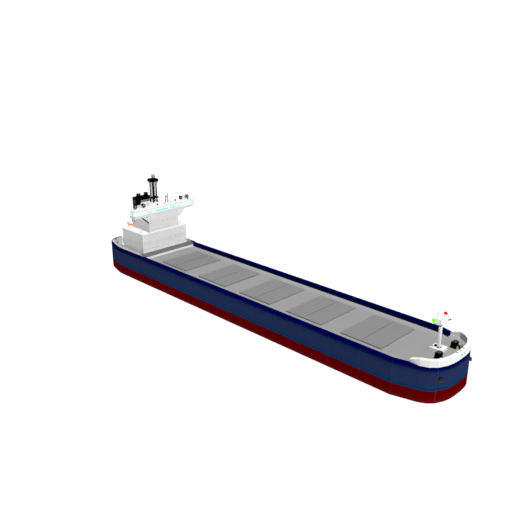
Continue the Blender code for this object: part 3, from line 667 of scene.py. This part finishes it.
def searchlight(shape, x, y, lift, red_foot):
    """A drum lamp on a yoke: black body, tan face forward."""
    hub = BRIDGE_ROOF + lift
    post = [(-0.002, 0.0), (-0.002, 0.045), (0.012, 0.045), (0.02, 0.02), (lift - 0.085, 0.016),
            (lift - 0.085, 0.0)]
    shape.turned(post, (x, y, BRIDGE_ROOF), UP, 2, 10)
    for arm in (y - 0.086, y + 0.086):
        shape.block((x - 0.012, arm - 0.004, hub - 0.09), (x + 0.012, arm + 0.004, hub + 0.01), 2)
    shape.block((x - 0.012, y - 0.09, hub - 0.096), (x + 0.012, y + 0.09, hub - 0.084), 2)
    drum = [(-0.10, 0.0), (-0.10, 0.05), (-0.075, 0.072), (0.01, 0.080), (0.045, 0.082), (0.045, 0.074),
            (0.030, 0.070), (0.026, 0.0)]
    shape.turned(drum, (x, y, hub), AHEAD, 0, 14)
    face = [(0.036, 0.0), (0.040, 0.035), (0.036, 0.056), (0.030, 0.056), (0.028, 0.0)]
    shape.turned(face, (x, y, hub), AHEAD, 1, 14)
    if red_foot:
        low = (x - 0.03, y - 0.03, BRIDGE_ROOF - 0.001)
        shape.block(low, (x + 0.05, y + 0.03, BRIDGE_ROOF + 0.04), 3, 0.006)


def bridge_roof_gear():
    """Lamps, aerials, vents, boxes and low rails on the roof of the bridge."""
    shape = Shape(BLACK, TAN, GREY_STEEL, DARK_RED, WHITE, PALE_STEEL)
    lamps = ((-6.18, -1.375, 0.13, False), (-6.215, -0.91, 0.11, True), (-6.205, 1.193, 0.105, False),
             (-6.20, 1.55, 0.105, False))
    for lamp in lamps:
        searchlight(shape, *lamp)
    vent = [(-0.002, 0.0), (-0.002, 0.03), (0.10, 0.03), (0.12, 0.05), (0.15, 0.05), (0.175, 0.03),
            (0.185, 0.0)]
    shape.turned(vent, (-6.24, 1.44, BRIDGE_ROOF), UP, 4, 12)
    post = [(-0.002, 0.0), (-0.002, 0.024), (0.10, 0.022), (0.11, 0.018), (0.25, 0.018), (0.26, 0.0)]
    shape.turned(post, (-6.40, 0.47, BRIDGE_ROOF), UP, 0, 10)
    horn = [(-0.04, 0.0), (-0.04, 0.022), (0.05, 0.028), (0.06, 0.020), (0.06, 0.0)]
    shape.turned(horn, (-6.39, 0.47, BRIDGE_ROOF + 0.255), (1, 0, -0.35), 0, 10)
    whip = [(-0.002, 0.0), (-0.002, 0.024), (0.04, 0.022), (0.05, 0.017), (0.40, 0.015), (0.40, 0.0)]
    shape.turned(whip, (-6.26, 0.48, BRIDGE_ROOF), UP, 0, 8)
    boxes = ((-6.13, -0.21, 0.05, 0), (-6.20, 0.86, 0.055, 0), (-5.99, 1.44, 0.045, 0),
             (-6.62, -0.42, 0.06, 4), (-6.18, 0.56, 0.035, 5), (-6.405, 0.45, 0.035, 5),
             (-6.90, 0.35, 0.05, 4))
    for x, y, size, finish in boxes:
        half, lid, top = size / 2, size * 0.62, BRIDGE_ROOF + size
        shape.block((x - half, y - half, BRIDGE_ROOF - 0.001), (x + half, y + half, top), finish, 0.006)
        shape.block((x - lid, y - lid, top), (x + lid, y + lid, top + 0.006), finish)
    ring = [(0.0, 0.045), (0.012, 0.055), (0.024, 0.045), (0.012, 0.035), (0.0, 0.045)]
    shape.turned(ring, (-6.18, 0.25, BRIDGE_ROOF - 0.001), UP, 5, 16)
    dome = [(-0.002, 0.0), (-0.002, 0.06), (0.02, 0.065), (0.07, 0.065), (0.10, 0.05), (0.12, 0.0)]
    shape.turned(dome, (-6.50, -0.42, BRIDGE_ROOF), UP, 4, 16)
    back, front, side = WING_AFT + 0.01, BRIDGE_HIGH.x - 0.03, BRIDGE_HIGH.y - 0.02
    wings = [(back, -0.52), (back, -side), (front, -side), (front, side), (back, side), (back, 0.52)]
    aft, wall = BRIDGE_LOW.x + 0.02, WHEELHOUSE_HALF - 0.02
    wheelhouse = [(back, wall), (aft, wall), (aft, -wall), (back, -wall)]
    for line in (wings, wheelhouse):
        shape.rails([(x, y, BRIDGE_ROOF) for x, y in line], 0.10, 0.165, 4, 0.003)
    shape.done("bridge_roof_gear")


def bracket_edges():
    """Edge strips on the front of the wing brackets and a small lamp box at the top of one."""
    shape = Shape(BLACK, PALE_STEEL)
    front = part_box("wing_bracket_port")[1].x
    dark = [(-1.19, 3.550), (-0.84, 3.240), (-0.84, 3.160), (-1.27, 3.550)]
    pale = [(1.24, 3.536), (0.86, 3.204), (0.83, 3.204), (1.21, 3.536)]
    shape.slab([(front + 0.005, y, z) for y, z in dark], 0.004, 0)
    shape.block((front - 0.001, -0.98, 3.47), (front + 0.020, -0.85, 3.545), 1, 0.006)
    shape.slab([(front + 0.003, y, z) for y, z in pale], 0.004, 1)
    shape.done("bracket_edges")


# Masts and funnel


def radar_mast():
    """The black lattice mast: braced legs, a lamp platform, and the head with its lantern."""
    shape = Shape(BLACK, GREY_STEEL, PALE_STEEL, TEAL_GLASS, WHITE)
    x, half, foot, head = MAST_X, 0.10, BRIDGE_ROOF, 4.85
    corners = [(-1, -1), (1, -1), (1, 1), (-1, 1)]
    legs = [(x + a * half, b * half) for a, b in corners]
    shape.block((x - 0.15, -0.15, foot), (x + 0.15, 0.15, foot + 0.010), 4, 0.004)
    shape.block((x - 0.030, -0.030, foot), (x + 0.030, 0.030, head + 0.02), 0, 0.004)
    for (a, b), leg in zip(corners, legs):
        shape.rod((*leg, foot + 0.02), (*leg, head + 0.02), 0.024)
        shape.rod((x + a * 0.13, b * 0.13, foot), (*leg, foot + 0.21), 0.012, 0, sides=6)
    bays = 6
    lift = (head - foot - 0.03) / bays
    for bay in range(bays):
        low = foot + 0.03 + bay * lift
        for leg, beside in zip(legs, legs[1:] + legs[:1]):
            shape.rod((*leg, low), (*beside, low + lift), 0.008, 0, sides=5)
            shape.rod((*beside, low), (*leg, low + lift), 0.008, 0, sides=5)
            shape.rod((*leg, low + lift), (*beside, low + lift), 0.006, 0, sides=5)
    shape.block((x - 0.13, -0.22, 4.10), (x + 0.13, 0.22, 4.14), 0, 0.008)
    lamp = [(0.0, 0.0), (0.0, 0.022), (0.05, 0.022), (0.06, 0.012), (0.06, 0.0)]
    for y in (-0.19, 0.19):
        shape.turned(lamp, (x, y, 4.135), UP, 1, 10)
    shape.block((x - 0.18, -0.18, 4.865), (x + 0.18, 0.18, 4.995), 0, 0.008)
    shape.block((x - 0.14, -0.14, 4.990), (x + 0.14, 0.14, 5.002), 0, 0.003)
    for (a, b), leg in zip(corners, legs):
        shape.rod((*leg, 4.76), (x + a * 0.16, b * 0.16, 4.875), 0.009, 0, sides=6)
    base = [(0.0, 0.0), (0.0, 0.085), (0.03, 0.088), (0.05, 0.08), (0.055, 0.07)]
    glass = [(0.05, 0.07), (0.06, 0.080), (0.13, 0.080), (0.145, 0.07)]
    cap = [(0.14, 0.080), (0.16, 0.090), (0.225, 0.086), (0.256, 0.060), (0.268, 0.0)]
    for profile, finish in ((base, 1), (glass, 3), (cap, 2)):
        shape.turned(profile, (x, 0.03, 4.95), UP, finish, 16)
    for number in range(6):
        angle = number * math.pi / 3
        at = (x + 0.080 * math.cos(angle), 0.03 + 0.080 * math.sin(angle))
        shape.rod((*at, 5.0), (*at, 5.12), 0.009, 0, sides=5)
    shape.done("radar_mast_lattice", stands_for=["radar_mast"])


def funnel_details():
    """Lips and collars on the uptakes, and a rim, grilles and a ladder on the funnel."""
    shape = Shape(GREY_STEEL, BLACK, PALE_STEEL)
    lip = [(0.10, 0.094), (0.105, 0.104), (0.125, 0.106), (0.139, 0.099), (0.141, 0.085), (0.125, 0.083),
           (0.10, 0.094)]
    collar = [(0.02, 0.099), (0.022, 0.107), (0.040, 0.107), (0.042, 0.099)]
    for y in (-0.15, 0.27):
        shape.turned(lip, (UPTAKE_X, y, FUNNEL_TOP), UP, 0, 24)
        shape.turned(collar, (UPTAKE_X, y, FUNNEL_TOP), UP, 1, 24)
    aft, half = FUNNEL_LOW.x, FUNNEL_HIGH.y
    rim_low = (aft - 0.012, -half, FUNNEL_TOP - 0.032)
    shape.block(rim_low, (FUNNEL_HIGH.x + 0.012, half, FUNNEL_TOP + 0.003), 1, 0.006)
    for turn in BOTH:
        for number in range(6):
            low = (UPTAKE_X - 0.10, half - 0.004, 3.70 + number * 0.035)
            shape.block(low, (UPTAKE_X + 0.10, half + 0.007, low[2] + 0.014), 0, 0.003, turn)
    ladder = (-0.10, -0.04)
    for y in ladder:
        shape.rod((aft - 0.015, y, POOP + 0.01), (aft - 0.015, y, FUNNEL_TOP - 0.02), 0.005, 2, sides=5)
    for number in range(34):
        z = POOP + 0.05 + number * 0.06
        shape.rod((aft - 0.015, ladder[0], z), (aft - 0.015, ladder[1], z), 0.0035, 2, sides=5)
    for z in (2.0, 2.6, 3.2, 3.8):
        for y in ladder:
            shape.rod((aft + 0.002, y, z), (aft - 0.017, y, z), 0.004, 2, sides=5)
    shape.done("funnel_details")


def foremast_lights():
    """Side lamps on their arms, the frame of the head, collar, ladder, foot fittings and platform trim."""
    shape = Shape(BRIGHT_WHITE, GREEN_LAMP, RED_LAMP, BLACK, PEACH, PALE_STEEL)
    lamp = [(-0.060, 0.0), (-0.052, 0.036), (-0.026, 0.060), (0.0, 0.067), (0.026, 0.060), (0.052, 0.036),
            (0.060, 0.0)]
    cup = [(-0.072, 0.0), (-0.072, 0.026), (-0.052, 0.034), (-0.046, 0.030)]
    for sign, finish in ((-1, 1), (1, 2)):
        shape.rod((8.01, sign * 0.23, 2.86), (8.00, sign * 0.36, 2.885), 0.010, 0)
        shape.turned(lamp, (8.00, sign * 0.36, 2.93), UP, finish, 18)
        shape.turned(cup, (8.00, sign * 0.36, 2.93), UP, 5, 14)
    aft, front = FOREMAST_X - 0.105, FOREMAST_X + 0.105
    half, low, eave, ridge = 0.24, 2.77, 2.93, 3.07
    gable = [(-half, low), (-half, eave), (0, ridge), (half, eave), (half, low), (-half, low)]
    for x in (aft, front):
        for start, end in zip(gable, gable[1:]):
            shape.rod((x, *start), (x, *end), 0.009, 5, sides=5)
    for y, z in ((-half, low), (-half, eave), (half, eave), (half, low)):
        shape.rod((aft, y, z), (front, y, z), 0.009, 5, sides=5)
    shape.rod((8.172, 0.22, 2.80), (8.185, 0.37, 2.785), 0.013, 3)
    collar = [(0.0, 0.054), (0.0, 0.064), (0.035, 0.064), (0.035, 0.054)]
    shape.turned(collar, (FOREMAST_X, 0, 2.735), UP, 3, 20)
    foot = PLATFORM_TOP - 0.001
    flange = [(0.0, 0.054), (0.0, 0.085), (0.012, 0.085), (0.02, 0.054)]
    shape.turned(flange, (FOREMAST_X, 0, foot), UP, 5, 20)
    ladder = ((7.995, 0.035), (8.035, 0.075))
    for number in range(13):
        z = PLATFORM_TOP + 0.07 + number * 0.06
        shape.rod((*ladder[0], z), (*ladder[1], z), 0.004, 5, sides=5)
    for at in ladder:
        shape.rod((*at, foot), (*at, 2.774), 0.004, 5, sides=5)
    boxes = (
        ((8.085, -0.246, 2.728), (8.185, -0.185, 2.772), 3, 0.006),
        ((8.150, -0.185, 2.735), (8.183, -0.12, 2.772), 3, 0.004),
        ((8.165, 0.35, 2.765), (8.205, 0.385, 2.80), 3, 0.005),
        ((8.150, 0.04, 2.742), (8.180, 0.09, 2.772), 5, 0.005),
        ((7.935, -0.055, foot), (8.005, 0.030, 1.975), 3, 0.008),
        ((8.020, 0.095, foot), (8.070, 0.150, 1.965), 3, 0.006),
        ((8.075, -0.105, foot), (8.115, -0.060, 1.950), 3, 0.005),
        ((8.130, -0.020, foot), (8.160, 0.030, 1.945), 3, 0.005),
        ((7.885, -0.14, foot), (7.925, -0.08, 1.955), 5, 0.006),
    )
    for box in boxes:
        shape.block(*box)
    x_low, x_high, side = PLATFORM_LOW.x - 0.004, PLATFORM_HIGH.x + 0.004, PLATFORM_HIGH.y + 0.004
    low, high, rim = FOREDECK + 0.002, FOREDECK + 0.022, PLATFORM_TOP - 0.015
    trims = (
        ((x_low, -side, low), (x_high, 0.005 - side, high)),
        ((x_low, side - 0.005, low), (x_high, side, high)),
        ((x_low, 0.004 - side, low), (x_low + 0.005, side - 0.004, high)),
        ((x_high - 0.005, 0.004 - side, low), (x_high, side - 0.004, high)),
        ((x_low, -side, rim), (x_low + 0.011, side, rim + 0.021)),
        ((x_low, -side, rim), (8.20, 0.011 - side, rim + 0.019)),
    )
    for corners in trims:
        shape.block(*corners, 4)
    shape.done("foremast_lights")


# Deck gear


def windlass(side):
    """An anchor windlass: bed, side frames, cable drum, gear case, brake wheels; to port a warping head."""
    shape = Shape(BLACK, GREY_STEEL, YELLOW, TAN)
    turn = SIDES[side]
    low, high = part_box("windlass_port")
    x, y = (low.x + high.x) / 2, (low.y + high.y) / 2
    shape.block((low.x, low.y, FOREDECK - 0.001), (high.x, high.y, FOREDECK + 0.032), 0, 0.006, turn)
    aft, fore = x - 0.092, x + 0.092
    for at in (y - 0.11, y - 0.02, y + 0.10):
        cheek = [(aft, at, 1.86), (fore, at, 1.86), (fore, at, 1.92), (aft, at, 1.92)]
        shape.slab(cheek, 0.014, 0, turn)
    drum = [(-0.105, 0.0), (-0.105, 0.085), (-0.092, 0.090), (-0.085, 0.060), (-0.02, 0.058),
            (-0.012, 0.090), (0.012, 0.090), (0.020, 0.058), (0.085, 0.060), (0.092, 0.088),
            (0.105, 0.085), (0.105, 0.0)]
    cable = [(-0.084, 0.062), (-0.084, 0.078), (-0.022, 0.078), (-0.022, 0.062)]
    for finish, profile in enumerate((drum, cable)):
        shape.turned(profile, (x, y, 1.96), ACROSS, finish, 22, turn)
    shape.block((x - 0.088, y - 0.103, 1.90), (x + 0.088, y + 0.105, 2.030), 0, 0.014, turn)
    shape.block((x - 0.065, y - 0.080, 2.026), (x + 0.065, y + 0.085, 2.046), 1, 0.006, turn)
    wheel = [(-0.006, 0.026), (0.0, 0.032), (0.006, 0.026), (0.0, 0.020), (-0.006, 0.026)]
    front = high.x
    marks = ((0.42, 1.92), (0.54, 1.885)) if side == "starboard" else ((0.522, 1.895), (0.475, 1.870))
    for y, z in marks:
        shape.turned(wheel, (front + 0.002, y, z), AHEAD, 2, 12, turn)
        shape.rod((front - 0.02, y, z), (front + 0.006, y, z), 0.008, 2, matrix=turn)
        spoke_end = (front + 0.003, y + 0.026, z + 0.004)
        shape.block((front - 0.003, y - 0.026, z - 0.004), spoke_end, 2, matrix=turn)
    name = "windlass_" + side
    if side == "port":
        shape.rod((8.44, 0.51, 1.925), (8.585, 0.51, 1.93), 0.022, 0)
        shape.block((8.50, 0.485, FOREDECK - 0.001), (8.54, 0.535, 1.93), 0, 0.006)
        head = [(-0.01, 0.0), (-0.01, 0.075), (0.0, 0.085), (0.015, 0.080), (0.022, 0.05), (0.03, 0.03),
                (0.03, 0.0)]
        shape.turned(head, (8.58, 0.51, 1.93), AHEAD, 3, 20)
    shape.done(name + "_detailed", stands_for=[name])


def bow_fittings():
    """Fairleads in the stem, pads on the bow rim, bollards on their beds, and bulwark stays."""
    shape = Shape(BLACK, WHITE, PALE_STEEL, GREY_STEEL)
    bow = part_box("bow_bulwark")[1]
    lip = [(-0.004, 0.020), (0.003, 0.034), (0.004, 0.030), (0.002, 0.022), (-0.004, 0.020)]
    # Painted shade: a thin black disc in each fairlead stands in for its dark inside.
    hole = [(0.0, 0.0), (0.0022, 0.024), (-0.002, 0.024), (-0.002, 0.0)]
    for y, z, grow in ((-0.10, 1.985, 0.8), (-0.01, 1.945, 1.0), (0.115, 1.97, 0.9)):
        chock = Matrix.Translation((bow.x - 0.001, y, z)) @ Matrix.Diagonal((1, grow * 1.2, grow * 0.8, 1))
        shape.turned(lip, (0, 0, 0), AHEAD, 2, 18, chock)
        shape.turned(hole, (0, 0, 0), AHEAD, 0, 18, chock)
    for y in (-0.17, 0.05, 0.24):
        shape.block((8.74, y - 0.02, bow.z - 0.001), (8.80, y + 0.02, bow.z + 0.006), 3, 0.002)
    post = [(-0.001, 0.0), (-0.001, 0.020), (0.035, 0.018), (0.040, 0.025), (0.048, 0.023), (0.050, 0.0)]
    for turn in BOTH:
        for x, y in ((8.02, 1.02), (8.02, 0.90), (8.22, 0.95)):
            shape.turned(post, (x, y, FOREDECK), UP, 2, 12, turn)
        shape.block((7.98, 0.86, FOREDECK - 0.001), (8.06, 1.06, FOREDECK + 0.008), 2, 0.003, turn)
        for x, y in ((7.95, 1.185), (8.15, 1.195)):
            outline = [(x, y, FOREDECK), (x, y - 0.06, FOREDECK), (x, y, FOREDECK + 0.09)]
            shape.slab(outline, 0.008, 1, turn)
    shape.done("bow_fittings")


def anchor(side):
    """A stockless anchor in its hull pocket: shank, crown and two flukes, with a black ring of painted
    shade for the dark hawse recess round the top of the shank.
    """
    shape = Shape(ANCHOR_BROWN, BLACK)
    along = Vector((0.135, -0.296, 0)).normalized()
    out = Vector((0.296, 0.135, 0)).normalized()
    place = Matrix.Identity(4)
    for row in range(3):
        place[row][0] = along[row]
        place[row][1] = -out[row]
        place[row][3] = (8.70, 0.927, 1.39)[row]
    place = SIDES[side] @ place
    # Painted shade: a black ring stands in for the dark hawse recess round the shank.
    ring = [(0.0, 0.0576), (-0.004, 0.0688), (-0.012, 0.0656), (-0.012, 0.0544), (0.0, 0.0576)]
    shape.turned(ring, (0, 0, 0.035), ACROSS, 1, 20, place)
    shape.block((-0.012, -0.045, -0.03), (0.012, -0.012, 0.055), 0, 0.005, place)
    shape.block((-0.055, -0.062, -0.060), (0.055, -0.004, -0.028), 0, 0.010, place)
    fluke = [(0.020, -0.04), (0.062, -0.04), (0.056, 0.030), (0.040, 0.052)]
    for sign in (-1, 1):
        shape.slab([(sign * x, -0.05, z) for x, z in fluke], 0.020 * sign, 0, place)
    shackle = [(-0.006, 0.014), (0.0, 0.018), (0.006, 0.014), (0.0, 0.010), (-0.006, 0.014)]
    shape.turned(shackle, (0, -0.03, 0.055), AHEAD, 0, 12, place)
    name = "anchor_" + side
    shape.done(name + "_stockless", stands_for=[name])


def lifeboat(side):
    """An enclosed lifeboat on its chocks: orange hull, pale canopy and small windows."""
    shape = Shape(ORANGE, WHITE, WINDOW)
    turn = SIDES[side]
    part = bmesh.new()
    lengthwise = Matrix.Rotation(math.pi / 2, 4, "Y")
    bmesh.ops.create_uvsphere(part, u_segments=24, v_segments=14, radius=1.0, matrix=lengthwise)
    powers = (0.72, 0.80, 0.85)
    for vert in part.verts:
        x, y, z = [math.copysign(abs(value) ** power, value) for value, power in zip(vert.co, powers)]
        vert.co = (-7.265 + x * 0.188, 1.00 + y * 0.088, 2.975 + z * 0.094)
    part.normal_update()
    for face in part.faces:
        face.material_index = 1 if face.calc_center_median().z > 2.985 else 0
    shape.pour(part, turn, None, True)
    shape.block((-7.42, 0.905, 2.982), (-7.11, 1.095, 2.996), 1, 0.006, turn)
    shape.block((-7.235, 0.955, 3.045), (-7.165, 1.045, 3.070), 1, 0.008, turn)
    for number in range(4):
        x = -7.37 + number * 0.06
        shape.block((x, 0.915, 3.00), (x + 0.03, 1.085, 3.02), 2, 0.003, turn)
    foot = HOUSE_ROOF - 0.001
    chock = [(0.93, foot), (1.07, foot), (1.05, 2.80), (1.07, 2.90), (1.02, 2.885), (0.98, 2.885),
             (0.93, 2.90), (0.95, 2.80)]
    for x in (-7.36, -7.17):
        shape.slab([(x, y, z) for y, z in chock], 0.022, 1, turn)
    shape.block((-7.38, 0.955, foot), (-7.14, 1.045, HOUSE_ROOF + 0.012), 1, 0.003, turn)
    name = "lifeboat_" + side
    shape.done(name + "_enclosed", stands_for=[name])


def stair_details():
    """Steps and handrails in the stair tower."""
    shape = Shape(WHITE, PALE_STEEL)
    low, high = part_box("stair_tower")
    aft, fore, centre = low.x + 0.005, high.x - 0.005, (low.y + high.y) / 2
    flights = ((1.852, 2.25, 1), (2.27, 2.69, -1))
    steps = 9
    for foot, head, way in flights:
        for number in range(steps):
            y = centre + way * ((number + 0.5) / steps - 0.5) * 0.16
            z = foot + (head - foot) * (number + 1) / (steps + 1)
            shape.block((aft + 0.04, y - 0.012, z - 0.003), (fore - 0.04, y + 0.012, z + 0.003), 0)
        for x in (aft + 0.036, fore - 0.040):
            shape.rod((x, centre - way * 0.085, foot), (x, centre + way * 0.085, head), 0.005, 1, sides=5)
    for z, height in ((2.258, 0.08), (2.698, 0.02)):
        shape.rails([(aft, centre - 0.095, z), (aft, centre + 0.095, z)], height, 0.1, 0, 0.003, 2)
    shape.done("stair_details")


def poop_fittings():
    """Mooring winches, bollards, vents and rails on the poop and the house roof."""
    shape = Shape(WHITE, GREY_STEEL, ROPE)
    post = [(-0.001, 0.0), (-0.001, 0.022), (0.045, 0.020), (0.05, 0.028), (0.058, 0.026), (0.06, 0.0)]
    drum = [(-0.15, 0.0), (-0.15, 0.06), (-0.14, 0.06), (-0.135, 0.035), (-0.01, 0.035), (-0.005, 0.06),
            (0.005, 0.06), (0.01, 0.035), (0.135, 0.035), (0.14, 0.06), (0.15, 0.06), (0.15, 0.0)]
    rope = [(-0.13, 0.036), (-0.13, 0.050), (-0.012, 0.050), (-0.012, 0.036)]
    cheek = [(-8.31, 0.015), (-8.17, 0.015), (-8.215, 0.10), (-8.265, 0.10)]
    for turn in BOTH:
        for x, y in ((-8.10, 1.22), (-8.22, 1.18), (-8.62, 0.98), (-8.70, 0.90)):
            shape.turned(post, (x, y, POOP), UP, 1, 12, turn)
        shape.block((-8.34, 0.42, POOP - 0.001), (-8.14, 0.78, POOP + 0.02), 1, 0.004, turn)
        for profile, finish in ((drum, 1), (rope, 2)):
            shape.turned(profile, (-8.24, 0.60, POOP + 0.085), ACROSS, finish, 16, turn)
        for y in (0.455, 0.60, 0.745):
            shape.slab([(x, y - 0.006, POOP + z) for x, z in cheek], 0.012, 1, turn)
    vents = ((-6.25, -1.10, 0.05), (-6.25, 1.10, 0.05), (-7.44, -0.20, 0.06), (-7.44, 0.30, 0.06))
    for x, y, size in vents:
        neck = [(-0.001, 0.0), (-0.001, size * 0.5), (size * 1.4, size * 0.5), (size * 1.5, size * 0.8),
                (size * 2.0, size * 0.8), (size * 2.3, 0.0)]
        shape.turned(neck, (x, y, HOUSE_ROOF), UP, 0, 12)
    quarter = [(-5.72, -1.53), (-7.43, -1.53), (-7.73, -1.47), (-8.23, -1.34), (-8.57, -1.22),
               (-8.81, -1.0), (-8.90, -0.71)]
    around = quarter + [(x, -y) for x, y in reversed(quarter)]
    front, back, side = HOUSE_HIGH.x - 0.02, HOUSE_LOW.x + 0.02, HOUSE_HIGH.y - 0.02
    roof = [(front, -side), (back, -side), (back, side), (front, side)]
    for line, level in ((around, 1.857), (roof, HOUSE_ROOF)):
        shape.rails([(x, y, level) for x, y in line], 0.10, 0.17, 0, 0.0028)
    shape.done("poop_and_roof_fittings")


def cover_details(name):
    """Lifting pads, ribs and a drip bar on one hatch cover panel, and stiffeners under it."""
    low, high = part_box(name)
    shape = Shape(HATCH)
    outer, inner = (low.x, high.x) if "_aft_" in name else (high.x, low.x)
    top, under, length = high.z, low.z, inner - outer
    for y in (-0.93, 0.93):
        for share in (0.25, 0.75):
            x = outer + length * share
            shape.block((x - 0.016, y - 0.012, top - 0.001), (x + 0.016, y + 0.012, top + 0.006), 0, 0.002)
    for number in range(1, 4):
        x = outer + length * number / 4
        shape.block((x - 0.003, -0.97, top - 0.001), (x + 0.003, 0.97, top + 0.0022))
    x = inner - math.copysign(0.012, length)
    shape.block((x - 0.004, -0.985, top - 0.001), (x + 0.004, 0.985, top + 0.003))
    for number in range(4):
        x = outer + length * (0.24 + number * 0.22)
        shape.block((x - 0.004, -0.90, under - 0.022), (x + 0.004, 0.90, under + 0.001))
        shape.block((x - 0.012, -0.90, under - 0.025), (x + 0.012, 0.90, under - 0.021))
    start, end = sorted((outer + length * 0.16, outer + length * 0.95))
    for y in (-0.60, 0.0, 0.60):
        shape.block((start, y - 0.004, under - 0.018), (end, y + 0.004, under + 0.001))
    shape.done(name + "_details", body=name)


def underwater_fittings():
    """Bilge keels, and a rope guard round the propeller shaft."""
    shape = Shape(HULL, PALE_STEEL)
    keel = [(-3.6, 1.508, 0.052), (4.6, 1.508, 0.052), (4.5, 1.535, 0.025), (-3.5, 1.535, 0.025)]
    for turn in BOTH:
        shape.slab(keel, 0.006, 0, turn)
    guard = [(-0.002, 0.086), (-0.002, 0.092), (0.05, 0.092), (0.06, 0.086)]
    shape.turned(guard, (-7.778, 0, 0.30), AHEAD, 1, 24)
    shape.done("underwater_fittings")


# Setting


def soft_light(name, towards, energy, angle, shadow):
    """A broad far light that shines from the given direction."""
    light = bpy.data.lights.new(name, "SUN")
    light.angle = math.radians(angle)
    light.energy = energy
    light.use_shadow = shadow
    lamp = bpy.data.objects.new(name, light)
    lamp.rotation_mode = "QUATERNION"
    lamp.rotation_quaternion = Vector(towards).to_track_quat("Z", "Y")
    bpy.context.scene.collection.objects.link(lamp)


def make_studio():
    """A pale floor at the waterline, open inside the dry hull, soft high lights and a white backdrop."""
    floor = Paint("floor_pale", {"Roughness": 0.9, "Specular IOR Level": 0.0, "Emission Strength": 1.0})
    cloud = floor.noise(floor.place(), 0.05)
    floor.feed("Base Color", floor.scaled((0.32, 0.32, 0.32), 0.99 + cloud * 0.02))
    floor.feed("Emission Color", (0.74, 0.74, 0.74))
    bm = bmesh.new()
    level = Matrix.Translation((0, 0, WATERLINE))
    bmesh.ops.create_circle(bm, cap_ends=False, segments=64, radius=160, matrix=level)
    low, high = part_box("side_shell_port")
    aft, fore, side = low.x + 0.01, high.x - 0.01, (low.y + high.y) / 2
    hole = ((aft, -side), (fore, -side), (fore, side), (aft, side))
    dry = [bm.verts.new((x, y, WATERLINE)) for x, y in hole]
    for start, end in zip(dry, dry[1:] + dry[:1]):
        bm.edges.new((start, end))
    bmesh.ops.triangle_fill(bm, use_beauty=True, edges=bm.edges[:], normal=UP)
    mesh = bpy.data.meshes.new("floor")
    bm.to_mesh(mesh)
    bm.free()
    mesh.materials.append(floor.material)
    ground = bpy.data.objects.new("floor", mesh)
    bpy.context.scene.collection.objects.link(ground)

    soft_light("high_key", (0.20, -0.05, 1.0), 1.0, 30, True)
    soft_light("high_fill", (0.10, 0.0, 1.0), 2.5, 10, False)
    soft_light("front_fill", (1.0, -0.04, 0.12), 1.05, 10, False)
    soft_light("starboard_fill", (0.0, -1.0, 0.10), 0.25, 10, False)
    soft_light("port_fill", (0.0, 1.0, 0.10), 0.25, 10, False)

    world = bpy.data.worlds.new("studio")
    bpy.context.scene.world = world
    world.use_nodes = True
    sky = Nodes(world.node_tree)
    _, _, up = sky.split(sky.node("ShaderNodeTexCoord", {}, {}, "Generated"))
    stops = [(0.075, (1.1, 1.1, 1.1)), (0.11, (0.06, 0.06, 0.06))]
    horizon = sky.node("ShaderNodeValToRGB", {"stops": stops}, {0: up})
    seen = sky.node("ShaderNodeLightPath", {}, {}, "Is Camera Ray")
    sky.join(world.node_tree.nodes["Background"].inputs["Color"], sky.mix(seen, horizon, (1.1, 1.1, 1.1)))


def make_camera():
    """The photograph's view."""
    camera = bpy.data.cameras.new("camera")
    camera.sensor_width = 36
    camera.lens = 43.456
    camera.clip_start = 0.5
    camera.clip_end = 600
    made = bpy.data.objects.new("camera", camera)
    made.rotation_mode = "QUATERNION"
    made.location = (16.261, -16.282, 11.059)
    made.rotation_quaternion = Vector((-2, 2, -1)).to_track_quat("-Z", "Y")
    bpy.context.scene.collection.objects.link(made)
    bpy.context.scene.camera = made
    bpy.context.scene.view_settings.view_transform = "Standard"


make_camera()
make_studio()
finish_cad_nodes()
bridge_windows()
house_windows()
bridge_roof_gear()
bracket_edges()
radar_mast()
funnel_details()
foremast_lights()
for side in ("port", "starboard"):
    windlass(side)
    anchor(side)
    lifeboat(side)
bow_fittings()
stair_details()
poop_fittings()
underwater_fittings()
for name in sorted(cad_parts):
    if name.endswith("_cover"):
        cover_details(name)
